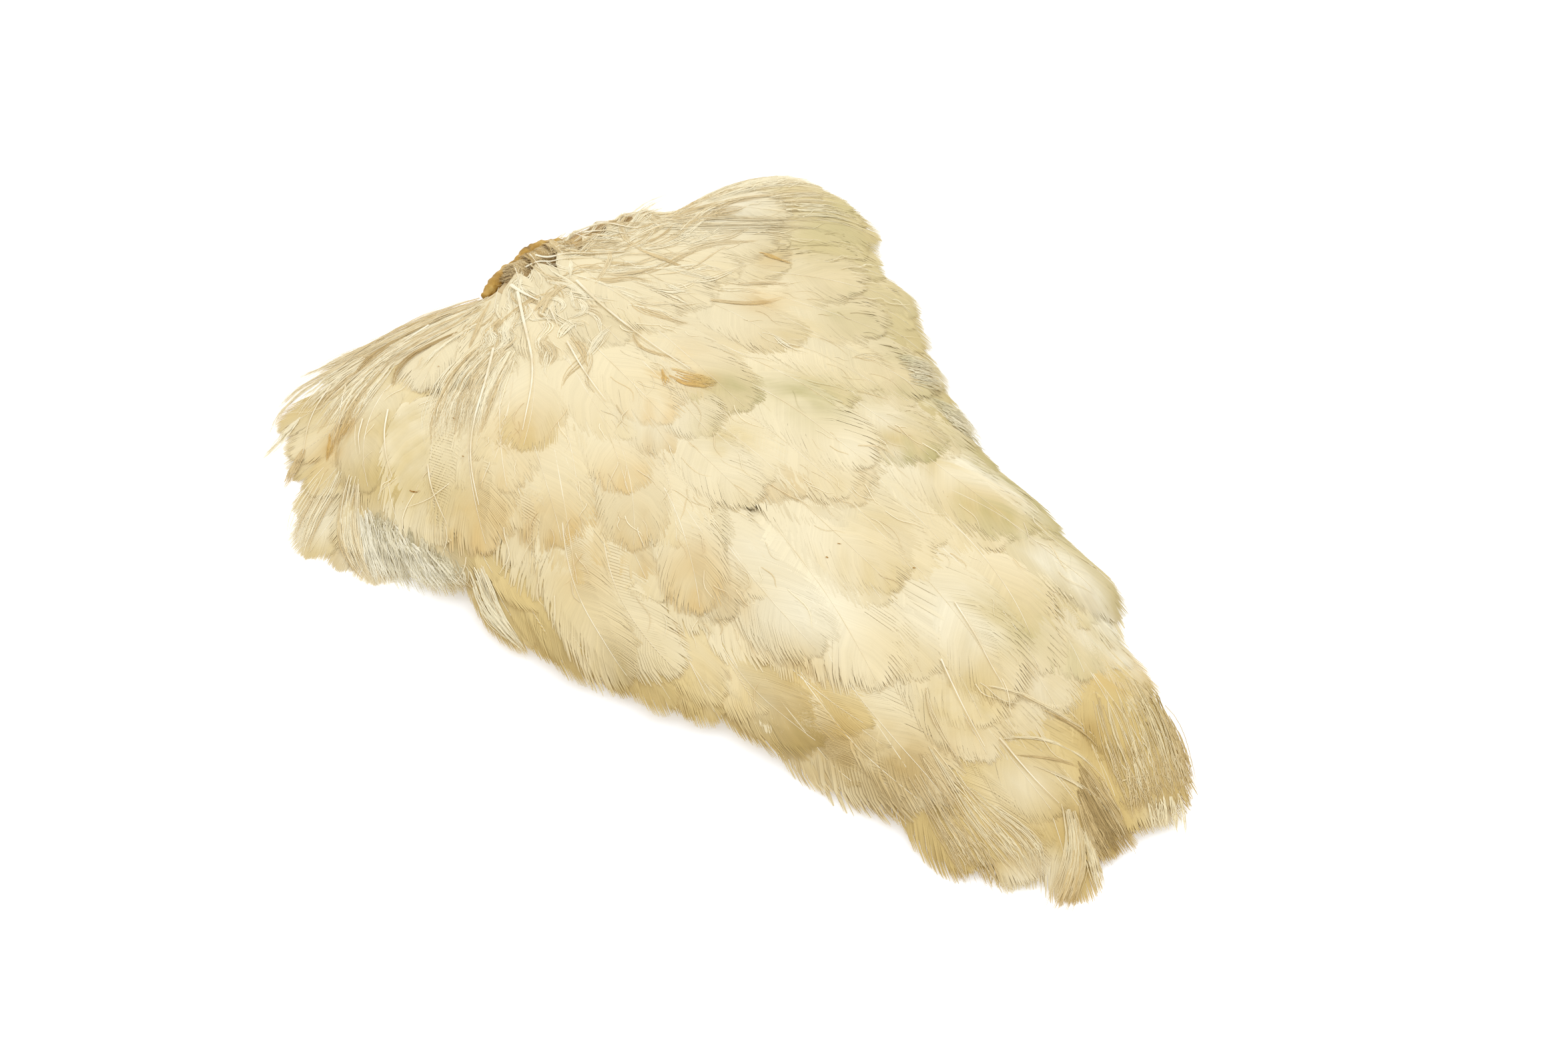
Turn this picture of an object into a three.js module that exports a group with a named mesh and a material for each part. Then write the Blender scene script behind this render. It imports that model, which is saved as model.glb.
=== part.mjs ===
// Hen saddle hackle: the dried saddle patch of a hen's skin with its feathers still in it.
// Millimetres, +Z up. +X runs tailward along the spine, +Y is the bird's right flank.
// The origin is on the table, under the middle of the patch, whose underside is flat.
import * as THREE from 'three';

// Skin
const SKIN_TOP = 2.0;        // upper face of the dried skin
const SKIN_EDGE = 1.2;       // height of its thin torn edge
const RIM_TOP = 4.0;         // crest of the crusted, rolled front edge
const RIM_LUMP = 0.8;        // the crust is this much higher or lower in places
const RIM_BACK_X = -66;      // the crust ends at this place along the spine
const RIM_LEFT_Y = -4;       // and at these places across it
const RIM_RIGHT_Y = 40;
const RIM_FADE_ALONG = 9;    // it dies away over these distances
const RIM_FADE_ACROSS = 6;
const LUMP_TURNS = [2.1, 0.7, 30];   // radians a point around, a point around and a share in
const SKIN_POINTS = 72;      // points around the outline
const SKIN_MIDDLE = new THREE.Vector3(-25, 8, 0);

// Feathers
const FEATHER_HALF = 0.38;   // from the middle of a vane to its underside, at the shaft
const VANE_RISE = 0.2;       // the upper side stands this far up, halfway out to the edge
const SHAFT_RISE = 0.42;     // and this far at the shaft
const TIP_SHARE = 0.7;       // the tip has this share of the thickness
const QUILL_HALF = 0.6;      // half the width of a bare quill

// How they lie on each other
const LAYER_GAP = 0.32;      // room between one feather and what lies under it
const LOOK_NEAR = 2;         // what lies this near a place counts as under it
const LOOK_SHARE = 0.3;      // and this share of half the feather's width more
const MAP_CELL = 0.8;        // size of a cell in the map of heights
const MAP_REACH = 110;       // the map reaches this far from the origin
const MARKS_A_CELL = 1.5;    // how closely a mesh is marked in the map
const SETTLE_ROUNDS = 40;    // how often a feather is smoothed as it settles
const WEIGHT = 0.12;         // how far it sinks in each round, where nothing holds it
const MOST_DIP = 0.1;        // a vane dips no more than this between its shaft and its edge
const LOFT = 7;              // the down under the feathers holds them up to this height
const LOFT_MIDDLE = new THREE.Vector2(-14, 4);
const LOFT_LONG = 62;        // the loft dies away over these distances along and across
const LOFT_WIDE = 34;
const BARE_SHARE = 0.1;      // this share of a feather is bare quill, which no down holds up

// The outline of the skin, from the cut front edge round by the left flank
const SKIN_OUTLINE = [
  [-80, 13], [-79, 7], [-75, 1], [-73, -7], [-68, -16], [-54, -22], [-30, -19], [-5, -15],
  [20, -12], [36, -7], [41, 4], [36, 14], [18, 20], [-8, 26], [-32, 32], [-56, 37],
  [-70, 39], [-77, 35], [-79, 24],
];

// Where each feather is planted and where it ends: root x, root y, tip x, tip y, the width of
// its vane, and how far its middle is drawn to its left of a straight line (to its right
// where that is negative). Each list runs from the lowest feather up.
const TAIL_FEATHERS = [
  [41, 5, 93.8, -5.4, 12.3, 10.4], [38, 9, 91.1, 4.8, 16.6, 1], [36, 13, 91.1, 15.5, 16.7, 3.3],
  [31, -4, 87.4, -8.6, 13.6, 2.4], [28, 18, 89.2, 17, 14.9, 13.1], [27, -7, 81, -14.6, 10.8, 0.5],
  [24, 19, 79, 18.5, 15, 12], [25, 1, 81.3, 1.6, 13, 4],
];
const REAR_SADDLE_FEATHERS = [
  [19, -9, 68.7, -12.9, 10.3, -7.6], [20, 12, 67, 14.3, 12, 7], [14, -5, 70.5, -10, 11, -3],
  [12, 20, 64, 22, 13, 12], [14, 6, 67.8, -0.3, 12, 3],
];
const LEFT_FLANK_FEATHERS = [
  [3, -11, 49.3, -18.7, 11.7, -11], [-8, -13, 34.5, -28, 11, -5], [-18, -14, 28.6, -32.1, 9.5, -9.3],
  [-34, -17, 16.1, -37.8, 10.1, -12], [-42, -18, 3.8, -42.6, 8.7, -14.5], [-50, -21, -25.3, -55.3, 12.7, -4.7],
  [-57, -21, -37.2, -61.3, 12.7, -2.6], [-64, -18, -55, -53.5, 14, 2], [-71, -9, -67.1, -49.7, 11, 2.5],
  [-56, -19, -13.5, -44.7, 13.4, -11], [-62, -20, -31.5, -46.5, 11, -9.5],
  [-67, -19, -41, -46.5, 10, -10],
];
const RIGHT_FLANK_FEATHERS = [
  [2, 22, 54.4, 36.2, 13.6, 6.8], [-8, 24, 36.3, 37.8, 13.3, 7.4], [-18, 26, 18.6, 39.1, 12.2, 4.2],
  [-28, 28, 6.9, 43.1, 11.9, 4.1], [-38, 30, -4.6, 46.5, 14, 4.8], [-46, 32, -14.5, 50.5, 15.2, 4],
  [-53, 34, -23.8, 56.2, 14.9, 3.6], [-60, 35, -35.1, 57.7, 14.3, 0.6], [-65, 36, -47.1, 66.1, 14.6, 3],
  [-69, 37, -57, 67, 14, 1], [-73, 36, -65.7, 65.7, 11.7, -2.4], [-75, 31, -70.1, 61.2, 9.3, -6.8],
];
const MID_SADDLE_FEATHERS = [
  [3, 21, 53.7, 19.3, 13, 10], [4, 12, 61, 9, 13, 7], [-10, 2, 47, -6, 16, 4],
  [-12, -4, 36.5, -9.5, 12, -3], [-22, 25, 35, 33.5, 13, 3], [-22, 13, 32, 13, 11, 3],
  [-22, 7, 32.6, 8.3, 11, 0], [-20, -7, 21.3, -16, 10, -2],
];
const FRONT_SADDLE_FEATHERS = [
  [-36, 10, 14, 15.5, 11, 4], [-32, 24, 12.3, 31.8, 12, 3], [-40, 5, 7.4, 8.2, 11, 2],
  [-34, -1, 9.6, -10.6, 9, -2], [-34, -7, 7.3, -22.5, 10, -3], [-42, -11, 1, -32, 11, 0],
  [-50, 17, -5, 26.3, 12, 2.5], [-52, -13, -7.5, -29.3, 11.5, 1], [-56, -9, -22.7, -30.3, 10, -3],
  [-60, -9, -15.5, -38.8, 12, -8], [-64, 3, -24.6, -7.8, 11, -2], [-64, 22, -36.3, 35, 10, 2],
  [-68, -1, -29.3, -23.3, 9.5, 6], [-72, 12, -22.4, 12, 14, -4],
];

// Share of the length from quill to tip, and share of the full width there
const ROUND_VANE = [
  [0, 0.06], [0.07, 0.07], [0.13, 0.24], [0.22, 0.5], [0.34, 0.77], [0.48, 0.95],
  [0.62, 1], [0.75, 0.96], [0.86, 0.8], [0.94, 0.55], [0.985, 0.25],
];
const WORN_VANE = [
  [0, 0.06], [0.07, 0.07], [0.13, 0.24], [0.22, 0.5], [0.34, 0.75], [0.48, 0.9],
  [0.62, 0.98], [0.76, 1], [0.88, 0.93], [0.955, 0.72], [1, 0.4],
];
const ACROSS = [1, 0.5, 0, -0.5, -1];

// Colours
const SKIN_COLOUR = 0xc79a55;
const SADDLE_COLOURS = [0xeee0be, 0xe8d6ac, 0xf2e6c8, 0xe4cf9f, 0xebdcb4];
const FLANK_COLOURS = [0xefe3c6, 0xe5d5ae, 0xdccba4, 0xf0e6cd, 0xd9cdb0];
const TAIL_COLOURS = [0xd9c08c, 0xcdb179, 0xe3d3aa, 0xd2b883];

const clamp = THREE.MathUtils.clamp;
const lerp = THREE.MathUtils.lerp;

// The map of heights: how high the patch has been laid so far at each place
const MAP_SIDE = Math.ceil(2 * MAP_REACH / MAP_CELL);
const heights = new Float32Array(MAP_SIDE * MAP_SIDE);

function cellAt(coordinate) {
  return clamp(Math.floor((coordinate + MAP_REACH) / MAP_CELL), 0, MAP_SIDE - 1);
}

function highestNear(x, y, radius) {
  let highest = 0;
  for (let row = cellAt(y - radius); row <= cellAt(y + radius); row += 1) {
    for (let column = cellAt(x - radius); column <= cellAt(x + radius); column += 1) {
      const cellX = (column + 0.5) * MAP_CELL - MAP_REACH;
      const cellY = (row + 0.5) * MAP_CELL - MAP_REACH;
      if (Math.hypot(cellX - x, cellY - y) <= radius) {
        highest = Math.max(highest, heights[row * MAP_SIDE + column]);
      }
    }
  }
  return highest;
}

// Marks every triangle of a laid mesh in the map
function markInMap(geometry) {
  const position = geometry.attributes.position;
  const index = geometry.index;
  const corners = [new THREE.Vector3(), new THREE.Vector3(), new THREE.Vector3()];
  for (let i = 0; i < index.count; i += 3) {
    corners.forEach((corner, k) => corner.fromBufferAttribute(position, index.getX(i + k)));
    const [a, b, c] = corners;
    const longest = Math.max(a.distanceTo(b), b.distanceTo(c), c.distanceTo(a));
    const steps = Math.ceil(longest / MAP_CELL * MARKS_A_CELL);
    for (let u = 0; u <= steps; u += 1) {
      for (let v = 0; v <= steps - u; v += 1) {
        const w = steps - u - v;
        const x = (a.x * u + b.x * v + c.x * w) / steps;
        const y = (a.y * u + b.y * v + c.y * w) / steps;
        const z = (a.z * u + b.z * v + c.z * w) / steps;
        const cell = cellAt(y) * MAP_SIDE + cellAt(x);
        heights[cell] = Math.max(heights[cell], z);
      }
    }
  }
}

// Closes equal rings of points into one skin, each end capped with a fan
function closedLoft(positions, around) {
  const rings = positions.length / 3 / around;
  const index = [];
  for (let ring = 0; ring < rings - 1; ring += 1) {
    for (let i = 0; i < around; i += 1) {
      const a = ring * around + i;
      const b = ring * around + (i + 1) % around;
      index.push(a, b, b + around, a, b + around, a + around);
    }
  }
  const last = (rings - 1) * around;
  for (let i = 1; i < around - 1; i += 1) {
    index.push(0, i + 1, i);
    index.push(last, last + i, last + i + 1);
  }
  const geometry = new THREE.BufferGeometry();
  geometry.setAttribute('position', new THREE.Float32BufferAttribute(positions, 3));
  geometry.setIndex(index);
  return geometry;
}

// How much of the front crust a place on the skin has, from 0 to 1
function crustAt(x, y) {
  const alongSpine = clamp((RIM_BACK_X - x) / RIM_FADE_ALONG, 0, 1);
  const fromLeft = clamp((y - RIM_LEFT_Y) / RIM_FADE_ACROSS, 0, 1);
  const fromRight = clamp((RIM_RIGHT_Y - y) / RIM_FADE_ACROSS, 0, 1);
  return alongSpine * fromLeft * fromRight;
}

// The skin in rings from its underside up and in: the share of the way in from the edge,
// and the height there of the thin sheet and of the rolled crust
const SKIN_RINGS = [
  [0, 0, 0], [-0.015, 0.7, 1.4], [-0.004, SKIN_EDGE, 3.2], [0.035, 1.6, RIM_TOP],
  [0.085, 1.8, 3.4], [0.13, 1.9, 2.4], [0.2, SKIN_TOP, 2.1], [0.5, SKIN_TOP, SKIN_TOP],
];

// The skin: flat underneath, thin at its torn edge, rolled and crusted along the front cut
function skinGeometry() {
  const points = SKIN_OUTLINE.map(([x, y]) => new THREE.Vector3(x, y, 0));
  const outline = new THREE.CatmullRomCurve3(points, true, 'centripetal');
  const edge = outline.getSpacedPoints(SKIN_POINTS).slice(1);
  const [fast, slow, deep] = LUMP_TURNS;
  const positions = [];
  for (const [inward, sheet, crust] of SKIN_RINGS) {
    edge.forEach((point, i) => {
      const place = point.clone().lerp(SKIN_MIDDLE, inward);
      const share = crustAt(place.x, place.y);
      const lump = RIM_LUMP * Math.sin(i * fast) * Math.sin(i * slow + inward * deep);
      const height = lerp(sheet, crust + lump * (crust - sheet) / RIM_TOP, share);
      positions.push(place.x, place.y, height);
    });
  }
  return closedLoft(positions, SKIN_POINTS);
}

// A feather's plan: its curved middle line from root to tip, and its width
function planFeather([rootX, rootY, tipX, tipY, width, bow]) {
  const root = new THREE.Vector2(rootX, rootY);
  const tip = new THREE.Vector2(tipX, tipY);
  const left = tip.clone().sub(root).normalize().rotateAround(new THREE.Vector2(), Math.PI / 2);
  const bend = root.clone().lerp(tip, 0.5).addScaledVector(left, bow);
  const middle = new THREE.QuadraticBezierCurve(root, bend, tip);
  return { middle, half: width / 2 };
}

// A place on a feather: along its middle line, and across, from 1 at the left edge to -1
function placeOn(plan, along, across, half) {
  const place = plan.middle.getPoint(along);
  const tangent = plan.middle.getTangent(along);
  place.x -= tangent.y * across * half;
  place.y += tangent.x * across * half;
  return place;
}

// The height at which the down holds a feather, 0 at the rim of the patch
function loftAt(place) {
  const along = (place.x - LOFT_MIDDLE.x) / LOFT_LONG;
  const across = (place.y - LOFT_MIDDLE.y) / LOFT_WIDE;
  return LOFT * Math.exp(-((along ** 2 + across ** 2) ** 2));
}

// The lowest that the middle of a feather can lie, for each station and place across it
function restOf(plan, stations) {
  return stations.map(({ along, half }) => ACROSS.map((across) => {
    const place = placeOn(plan, along, across, half);
    const below = highestNear(place.x, place.y, LOOK_NEAR + LOOK_SHARE * half);
    const held = along < BARE_SHARE ? 0 : loftAt(place);
    return Math.max(below + LAYER_GAP + FEATHER_HALF * (1 - across ** 2), held);
  }));
}

// Lets a feather settle: smooth from station to station, and nowhere below its rest
function settle(rest) {
  const surface = rest.map((row) => [...row]);
  for (let round = 0; round < SETTLE_ROUNDS; round += 1) {
    for (let i = 1; i < surface.length; i += 1) {
      const next = surface[i + 1] ?? surface[i];
      for (let j = 0; j < ACROSS.length; j += 1) {
        const left = surface[i][j - 1] ?? surface[i][j];
        const right = surface[i][j + 1] ?? surface[i][j];
        const smooth = (surface[i - 1][j] + next[j] + left + right) / 4;
        const held = j % 2 === 1 ? (left + right) / 2 - MOST_DIP : 0;
        surface[i][j] = Math.max(rest[i][j], smooth - WEIGHT, held);
      }
    }
  }
  return surface;
}

// One feather as a closed blade: six points around each station, quill to tip
function featherGeometry(plan, vane) {
  const stations = vane.map(([along, share]) => (
    { along, half: Math.max(plan.half * share, QUILL_HALF) }
  ));
  const surface = settle(restOf(plan, stations));
  const rise = [0, VANE_RISE, SHAFT_RISE, VANE_RISE, 0];
  const positions = [];
  stations.forEach(({ along, half }, i) => {
    const thin = i === stations.length - 1 ? TIP_SHARE : 1;
    ACROSS.forEach((across, j) => {
      const place = placeOn(plan, along, across, half);
      positions.push(place.x, place.y, surface[i][j] + rise[j] * thin);
    });
    const shaft = placeOn(plan, along, 0, half);
    positions.push(shaft.x, shaft.y, surface[i][2] - FEATHER_HALF * thin);
  });
  return closedLoft(positions, 6);
}

function makeMesh(name, geometry, colour, roughness) {
  geometry.computeVertexNormals();
  const material = new THREE.MeshStandardMaterial({ color: colour, roughness, metalness: 0 });
  const mesh = new THREE.Mesh(geometry, material);
  mesh.name = name;
  return mesh;
}

const patch = new THREE.Group();
patch.name = 'hen_saddle_patch';
const skin = makeMesh('skin', skinGeometry(), SKIN_COLOUR, 0.7);
markInMap(skin.geometry);
patch.add(skin);

// Each tract of feathers is a group, laid in this order
const TRACTS = [
  ['tail_feather', TAIL_FEATHERS, WORN_VANE, TAIL_COLOURS],
  ['rear_saddle_feather', REAR_SADDLE_FEATHERS, ROUND_VANE, SADDLE_COLOURS],
  ['left_flank_feather', LEFT_FLANK_FEATHERS, ROUND_VANE, FLANK_COLOURS],
  ['right_flank_feather', RIGHT_FLANK_FEATHERS, ROUND_VANE, FLANK_COLOURS],
  ['mid_saddle_feather', MID_SADDLE_FEATHERS, ROUND_VANE, SADDLE_COLOURS],
  ['front_saddle_feather', FRONT_SADDLE_FEATHERS, ROUND_VANE, SADDLE_COLOURS],
];
for (const [name, list, vane, colours] of TRACTS) {
  const tract = new THREE.Group();
  list.forEach((numbers, i) => {
    const geometry = featherGeometry(planFeather(numbers), vane);
    markInMap(geometry);
    const number = String(i + 1).padStart(2, '0');
    tract.add(makeMesh(`${name}_${number}`, geometry, colours[i % colours.length], 0.8));
  });
  patch.add(tract);
}

export default patch;
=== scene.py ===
# %% [markdown]
# The dried saddle patch of a cream hen
#
# A hen's saddle hackle is a flat piece of dried skin with all its feathers still in it. Every
# feather leaves the skin at a low angle and lies back over the ones behind it, like roof tiles.
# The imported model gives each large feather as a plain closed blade. A picture of barbs on that
# blade would look flat from the side, so each blade is replaced by a feather that is modelled
# down to its barbs: a horn shaft with two rows of flat rods.

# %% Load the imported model
import math
import bpy
import numpy as np
from mathutils import Matrix, Vector
from mathutils.bvhtree import BVHTree


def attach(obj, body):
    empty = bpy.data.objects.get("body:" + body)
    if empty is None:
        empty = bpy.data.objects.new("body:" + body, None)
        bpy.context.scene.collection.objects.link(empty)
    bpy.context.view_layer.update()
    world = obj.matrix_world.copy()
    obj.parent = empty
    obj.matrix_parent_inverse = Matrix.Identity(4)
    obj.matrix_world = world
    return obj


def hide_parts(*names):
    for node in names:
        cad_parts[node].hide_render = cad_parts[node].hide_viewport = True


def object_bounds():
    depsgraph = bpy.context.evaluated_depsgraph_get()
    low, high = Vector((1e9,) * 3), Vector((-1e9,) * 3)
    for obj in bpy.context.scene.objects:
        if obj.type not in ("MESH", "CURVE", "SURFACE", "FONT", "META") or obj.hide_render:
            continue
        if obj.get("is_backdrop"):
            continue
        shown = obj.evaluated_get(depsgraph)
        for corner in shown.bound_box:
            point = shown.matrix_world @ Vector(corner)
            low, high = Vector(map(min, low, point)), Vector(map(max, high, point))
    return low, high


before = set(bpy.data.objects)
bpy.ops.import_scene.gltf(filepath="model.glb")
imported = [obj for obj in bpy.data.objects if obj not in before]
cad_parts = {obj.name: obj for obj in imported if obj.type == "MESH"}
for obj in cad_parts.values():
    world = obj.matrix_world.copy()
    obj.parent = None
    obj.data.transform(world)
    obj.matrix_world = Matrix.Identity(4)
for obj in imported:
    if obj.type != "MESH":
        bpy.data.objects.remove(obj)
# A new Blender file brings a cube, a light and a camera of its own
for name in ("Cube", "Light", "Camera"):
    if name in bpy.data.objects:
        bpy.data.objects.remove(bpy.data.objects[name])
cad_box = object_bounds()
MM = 0.001
rng = np.random.default_rng(7)
print("nodes in the frame:", len(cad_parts))

# %% [markdown]
# The camera, the table and the light
#
# The photograph looks down on the patch at 44 degrees, from beyond its tail and from its left,
# with a long lens. A specimen like this is lit by large soft boxes over a white table. A single lamp
# would throw hard shadows between the barbs, so the light here is a bright even sky with one
# broad lamp behind the patch and a weaker one at its left. The table is plain white and glows
# a little, as an overexposed table does in a photograph.

# %% Camera
AZIMUTH = math.radians(54)
ELEVATION = math.radians(44)
LENS = 70
SENSOR = 36
DISTANCE = 510
PHOTO_WIDTH = 2350
PHOTO_HEIGHT = 1568
ORIGIN_PIXEL = (1105, 800)

back = Vector((math.sin(AZIMUTH) * math.cos(ELEVATION),
               -math.cos(AZIMUTH) * math.cos(ELEVATION), math.sin(ELEVATION)))
right = Vector((math.cos(AZIMUTH), math.sin(AZIMUTH), 0))
up = back.cross(right)
pixels_per_unit = LENS / SENSOR * PHOTO_WIDTH
aim = ((ORIGIN_PIXEL[0] - PHOTO_WIDTH / 2) / pixels_per_unit * right
       - (ORIGIN_PIXEL[1] - PHOTO_HEIGHT / 2) / pixels_per_unit * up - back)

camera_data = bpy.data.cameras.new("camera")
camera_data.lens = LENS
camera_data.sensor_width = SENSOR
camera_data.clip_start = 0.01
camera_data.clip_end = 20
camera = bpy.data.objects.new("camera", camera_data)
camera.location = aim.normalized() * -DISTANCE * MM
camera.rotation_euler = Matrix((right, up, back)).transposed().to_euler()
bpy.context.scene.collection.objects.link(camera)
bpy.context.scene.camera = camera
print("camera at", [round(x, 3) for x in camera.location])

# %% Table and light
TABLE_DROP = 0.05
TABLE_SIZE = 8
TABLE_WHITE = (0.93, 0.93, 0.93, 1)
TABLE_ROUGHNESS = 0.9
TABLE_GLOW = 0.28
SKY_STRENGTH = 0.93
WHITE = (1, 1, 1, 1)
# Name, place and side in metres, and watts
SOFT_BOXES = [
    ("soft_box_behind", (-0.35, 0.95, 1.0), 0.7, 5),
    ("soft_box_left", (-0.6, -0.9, 1.1), 0.8, 1.6),
]


def deselect():
    bpy.ops.object.select_all(action="DESELECT")


def only(piece):
    deselect()
    piece.select_set(True)
    bpy.context.view_layer.objects.active = piece


deselect()
bpy.ops.mesh.primitive_plane_add(size=TABLE_SIZE, location=(0, 0, -TABLE_DROP * MM))
table = bpy.context.object
table.name = "table"
table_white = bpy.data.materials.new("table_white")
table_white.use_nodes = True
table_sockets = table_white.node_tree.nodes["Principled BSDF"].inputs
for socket, value in (("Base Color", TABLE_WHITE), ("Roughness", TABLE_ROUGHNESS),
                      ("Emission Color", WHITE), ("Emission Strength", TABLE_GLOW)):
    table_sockets[socket].default_value = value
table.data.materials.append(table_white)
table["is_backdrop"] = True

world = bpy.data.worlds.new("white_room")
world.use_nodes = True
world.node_tree.nodes["Background"].inputs["Color"].default_value = WHITE
world.node_tree.nodes["Background"].inputs["Strength"].default_value = SKY_STRENGTH
bpy.context.scene.world = world
bpy.context.scene.view_settings.view_transform = "Standard"


def soft_box(name, place, size, watts):
    data = bpy.data.lights.new(name, "AREA")
    data.shape = "SQUARE"
    data.size = size
    data.energy = watts
    lamp = bpy.data.objects.new(name, data)
    lamp.location = place
    lamp.rotation_euler = (-Vector(place)).to_track_quat("-Z", "Y").to_euler()
    bpy.context.scene.collection.objects.link(lamp)


for name, place, size, watts in SOFT_BOXES:
    soft_box(name, place, size, watts)
print(len(SOFT_BOXES), "soft boxes over a table of", TABLE_SIZE, "m")

# %% [markdown]
# Where the feathers grow
#
# The lists repeat the planting of the imported model, in millimetres: where each feather is
# rooted, where its tip lies, the width of its vane, and how far its middle is drawn to the
# left of a straight line. Two more values give the tone of its tip and how strong that is. A
# quadratic curve from root to tip draws the shaft. Feathers strewn at random would never give
# the fan that this patch makes, so every large one is planted one by one. The last three rows of
# the rear saddle, and the upper and collar feathers, are small ones that the imported model
# leaves out.

# %% Planting lists
TAIL_FEATHERS = [
    (41, 5, 93.8, -5.4, 12.3, 10.4, "golden", 0.35), (38, 9, 91.1, 4.8, 16.6, 1, "umber", 0.5),
    (36, 13, 91.1, 15.5, 16.7, 3.3, "umber", 0.4), (31, -4, 87.4, -8.6, 13.6, 2.4, "golden", 0.3),
    (28, 18, 89.2, 17, 14.9, 13.1, "umber", 0.45), (27, -7, 81, -14.6, 10.8, 0.5, "umber", 0.35),
    (24, 19, 79, 18.5, 15, 12, "umber", 0.35), (25, 1, 81.3, 1.6, 13, 4, "tan", 0.15),
]
REAR_SADDLE_FEATHERS = [
    (19, -9, 68.7, -12.9, 10.3, -7.6, "umber", 0.5), (20, 12, 67, 14.3, 12, 7, "tan", 0.3),
    (14, -5, 70.5, -10, 11, -3, "umber", 0.45), (12, 20, 64, 22, 13, 12, "olive", 0.4),
    (14, 6, 67.8, -0.3, 12, 3, "golden", 0.35), (30, 18.5, 71, 28.5, 9.5, 9, "golden", 0.5),
    (26, 20.5, 64, 29.5, 9, 8, "tan", 0), (14, -12, 58, -18.5, 8, -7, "umber", 0.5),
]
LEFT_FLANK_FEATHERS = [
    (3, -11, 49.3, -18.7, 11.7, -11, "tan", 0.5), (-8, -13, 34.5, -28, 11, -5, "tan", 0.4),
    (-18, -14, 28.6, -32.1, 9.5, -9.3, "tan", 0.3), (-34, -17, 16.1, -37.8, 10.1, -12, "tan", 0.4),
    (-42, -18, 3.8, -42.6, 8.7, -14.5, "tan", 0.2), (-50, -21, -25.3, -55.3, 12.7, -4.7, "umber", 0.3),
    (-57, -21, -37.2, -61.3, 12.7, -2.6, "tan", 0.3), (-64, -18, -55, -53.5, 14, 2, "tan", 0.1),
    (-71, -9, -67.1, -49.7, 11, 2.5, "tan", 0.1), (-56, -19, -13.5, -44.7, 13.4, -11, "tan", 0.5),
    (-62, -20, -31.5, -46.5, 11, -9.5, "tan", 0.3), (-67, -19, -41, -46.5, 10, -10, "tan", 0.2),
]
RIGHT_FLANK_FEATHERS = [
    (2, 22, 54.4, 36.2, 13.6, 6.8, "umber", 0.3), (-8, 24, 36.3, 37.8, 13.3, 7.4, "olive", 0.6),
    (-18, 26, 18.6, 39.1, 12.2, 4.2, "olive", 0.6), (-28, 28, 6.9, 43.1, 11.9, 4.1, "olive", 0.6),
    (-38, 30, -4.6, 46.5, 14, 4.8, "olive", 0.3), (-46, 32, -14.5, 50.5, 15.2, 4, "tan", 0.3),
    (-53, 34, -23.8, 56.2, 14.9, 3.6, "olive", 0.3), (-60, 35, -35.1, 57.7, 14.3, 0.6, "olive", 0.3),
    (-65, 36, -47.1, 66.1, 14.6, 3, "tan", 0.3), (-69, 37, -57, 67, 14, 1, "tan", 0.2),
    (-73, 36, -65.7, 65.7, 11.7, -2.4, "tan", 0.1), (-75, 31, -70.1, 61.2, 9.3, -6.8, "tan", 0.1),
]
MID_SADDLE_FEATHERS = [
    (3, 21, 53.7, 19.3, 13, 10, "olive", 0.7), (4, 12, 61, 9, 13, 7, "tan", 0.3),
    (-10, 2, 47, -6, 16, 4, "tan", 0.15), (-12, -4, 36.5, -9.5, 12, -3, "tan", 0.15),
    (-22, 25, 35, 33.5, 13, 3, "olive", 0.6), (-22, 13, 32, 13, 11, 3, "tan", 0.35),
    (-22, 7, 32.6, 8.3, 11, 0, "tan", 0.4), (-20, -7, 21.3, -16, 10, -2, "umber", 0.25),
]
FRONT_SADDLE_FEATHERS = [
    (-36, 10, 14, 15.5, 11, 4, "golden", 0.25), (-32, 24, 12.3, 31.8, 12, 3, "olive", 0.8),
    (-40, 5, 7.4, 8.2, 11, 2, "golden", 0.35), (-34, -1, 9.6, -10.6, 9, -2, "olive", 0.2),
    (-34, -7, 7.3, -22.5, 10, -3, "golden", 0.45), (-42, -11, 1, -32, 11, 0, "golden", 0.6),
    (-50, 17, -5, 26.3, 12, 2.5, "olive", 0.9), (-52, -13, -7.5, -29.3, 11.5, 1, "golden", 0.85),
    (-56, -9, -22.7, -30.3, 10, -3, "golden", 0.3), (-60, -9, -15.5, -38.8, 12, -8, "golden", 0.6),
    (-64, 3, -24.6, -7.8, 11, -2, "golden", 0.4), (-64, 22, -36.3, 35, 10, 2, "tan", 0.5),
    (-68, -1, -29.3, -23.3, 9.5, 6, "tan", 0.6), (-72, 12, -22.4, 12, 14, -4, "golden", 0.2),
]
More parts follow.
